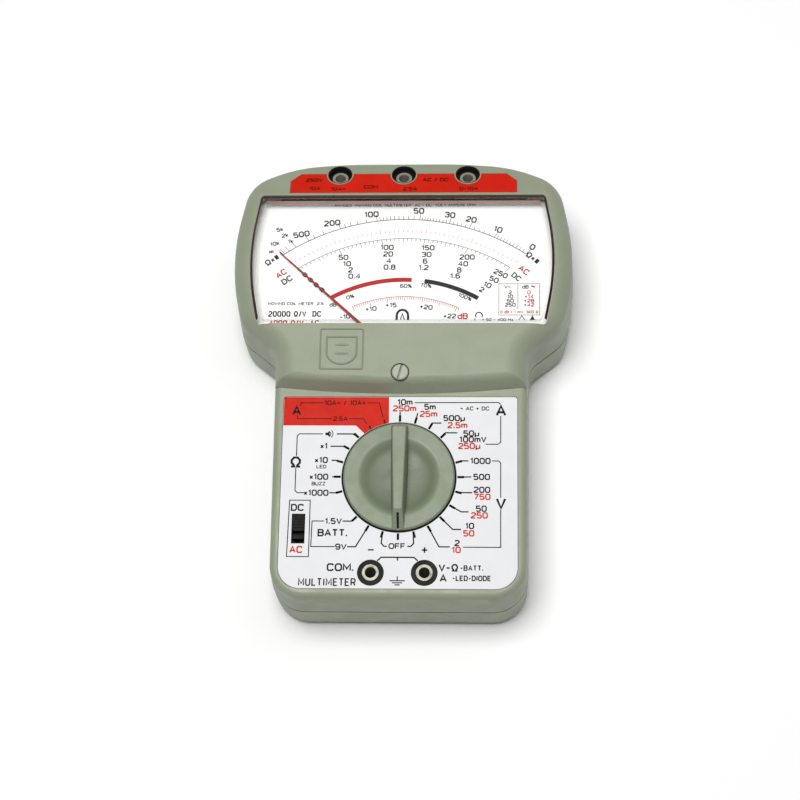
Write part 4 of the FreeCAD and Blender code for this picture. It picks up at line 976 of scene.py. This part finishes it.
def label_edge(material):
    """Shadow gap between the label and the panel's recess."""
    ring = outline_at("panel_label", LABEL_HIGH.z)
    inner = pushed_out(ring, -0.02 * MM)
    outer = pushed_out(ring, 0.17 * MM)
    high, low = LABEL_HIGH.z + 0.01 * MM, LABEL_HIGH.z - 0.3 * MM
    return band("label_edge_line", [at_height(inner, high), at_height(outer, high), at_height(outer, low),
                                    at_height(inner, low)], material)


def badge(material):
    """Blank moulded badge on the plateau's left: a raised square, and in it a shield and two bars."""
    centre = Vector((-21.4, 6.6))
    half = 8.0
    bar_size = (5.2 * MM, 0.8 * MM, 0.6 * MM, 1)

    def shield(grow):
        """Flat top and rounded foot."""
        wide, tall = half * 0.72 + grow, half * 0.62 + grow
        points = []
        for i in range(25):
            angle = math.pi * i / 24
            points.append((centre.x + wide * math.cos(angle), centre.y - 1.2 - tall * math.sin(angle)))
        return points + [(centre.x - wide, centre.y + tall), (centre.x + wide, centre.y + tall)]

    def square(grow):
        """Rounded square."""
        corner = 0.8
        points = []
        for turn, (sx, sy) in enumerate(((1, 1), (-1, 1), (-1, -1), (1, -1))):
            for i in range(5):
                angle = math.radians(90 * turn + 22.5 * i)
                points.append((centre.x + sx * (half - corner) + (corner + grow) * math.cos(angle),
                               centre.y + sy * (half - corner) + (corner + grow) * math.sin(angle)))
        return points

    def rim(name, form, width, height):
        profile = ((0.0, -0.1), (0.0, height * 0.7), (-width * 0.3, height), (-width * 0.7, height),
                   (-width, height * 0.7), (-width, -0.1))
        rows = [[Vector((x * MM, y * MM, PLATEAU + z * MM)) for x, y in form(grow)] for grow, z in profile]
        return band(name, rows, material)

    rim("badge_frame", square, width=0.5, height=0.3)
    rim("badge_shield", shield, width=0.6, height=0.35)
    for i in range(2):
        y = centre.y + 1.6 - 3.4 * i
        mesh = bmesh.new()
        bmesh.ops.create_cube(mesh, size=1.0)
        bmesh.ops.bevel(mesh, geom=mesh.edges[:], offset=0.22, segments=3, affect="EDGES")
        mesh.transform(Matrix.Translation((centre.x * MM, y * MM, PLATEAU)) @ Matrix.Diagonal(bar_size))
        finished(f"badge_bar_{i + 1}", mesh, material)


def screw_gap(material):
    """Thin flat ring round the zero screw: its shadow gap."""
    screw_low, screw_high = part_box("zero_adjust_screw")
    screw = (screw_low + screw_high) / 2
    inner, outer = 3.02 * MM, 3.4 * MM
    high, low = PLATEAU + 0.012 * MM, PLATEAU - 0.05 * MM
    steps = 48
    rows = []
    for radius, height in ((inner, high), (outer, high), (outer, low), (inner, low)):
        rows.append([Vector((screw.x + radius * math.cos(math.tau * i / steps),
                             screw.y + radius * math.sin(math.tau * i / steps), height))
                     for i in range(steps)])
    return band("zero_screw_gap", rows, material)


# ---------------------------------------------------------------- light and floor
def area_light(name, place, size, energy):
    """Square lamp that faces the middle of the part."""
    data = bpy.data.lights.new(name, "AREA")
    data.size = size
    data.energy = energy
    light = bpy.data.objects.new(name, data)
    bpy.context.scene.collection.objects.link(light)
    light.location = place
    light.rotation_mode = "QUATERNION"
    light.rotation_quaternion = (Vector((0, 0, 0.02)) - Vector(place)).to_track_quat("-Z", "Y")


def make_studio():
    scene = bpy.context.scene
    scene.view_settings.view_transform = "Standard"
    world = bpy.data.worlds.new("studio")
    world.use_nodes = True
    world.node_tree.nodes["Background"].inputs["Color"].default_value = (1, 1, 1, 1)
    world.node_tree.nodes["Background"].inputs["Strength"].default_value = 0.15
    scene.world = world
    area_light("key", (-0.12, -0.02, 1.2), size=0.5, energy=12.0)
    area_light("fill", (0.45, 0.3, 1.1), size=0.9, energy=2.4)

    mesh = bmesh.new()
    bmesh.ops.create_grid(mesh, x_segments=8, y_segments=8, size=12.0)
    data = bpy.data.meshes.new("floor")
    mesh.to_mesh(data)
    mesh.free()
    floor = bpy.data.objects.new("floor", data)
    scene.collection.objects.link(floor)
    made = Finish("floor_paper")
    made.colour(made.blended(made.noise(0.4, 2.0), (1.0, 1.0, 1.0, 1.0), (0.98, 0.98, 0.98, 1.0)))
    made.set(roughness=0.9)
    data.materials.append(made.material)


# ---------------------------------------------------------------- everything together
def main():
    make_camera()
    materials = make_materials()
    dress_nodes(materials)
    black = printed("ink_black", tone(30, 22, 25), tone(20, 15, 17), rough=(0.5, 0.65))
    red = printed("ink_red", tone(216, 58, 34), tone(200, 46, 26), rough=(0.5, 0.65))
    band_red = printed("ink_dial_red", tone(200, 26, 22), tone(180, 20, 18), rough=(0.4, 0.55))
    dial_ink = printed("ink_dial_black", tone(36, 30, 30), tone(24, 20, 20), rough=(0.4, 0.55))
    pale = printed("ink_pale_red", tone(206, 138, 130), tone(190, 120, 114), rough=(0.4, 0.55))
    corner_dark = printed("ink_dark_red", tone(96, 10, 6), tone(80, 8, 5), rough=(0.5, 0.65))
    # painted shade for the dark gap round the window cover
    edge_shade_ink = printed("painted_edge_shade", tone(78, 48, 38), tone(54, 34, 28), rough=(0.25, 0.4))
    gap = printed("shadow_gap", tone(58, 64, 50), tone(44, 50, 38), rough=(0.6, 0.8))

    panel_black(black)
    panel_red(red)
    red_corner(materials["strip_red"])
    corner_marks(black)
    corner_lines(corner_dark)
    switch_frame(black)
    grip_line(black)
    strip_marks(corner_dark)
    dial_black(dial_ink)
    dial_red(band_red)
    dial_fine(pale)
    window_edge(edge_shade_ink)
    window_wall(printed("wall_pale_band", tone(214, 172, 164), tone(196, 152, 144), rough=(0.5, 0.65)))
    label_edge(gap)
    badge(moulded("badge_green", tone(138, 147, 125), tone(128, 137, 115), corner_shade=tone(88, 96, 78)))
    screw_gap(gap)
    make_studio()


main()
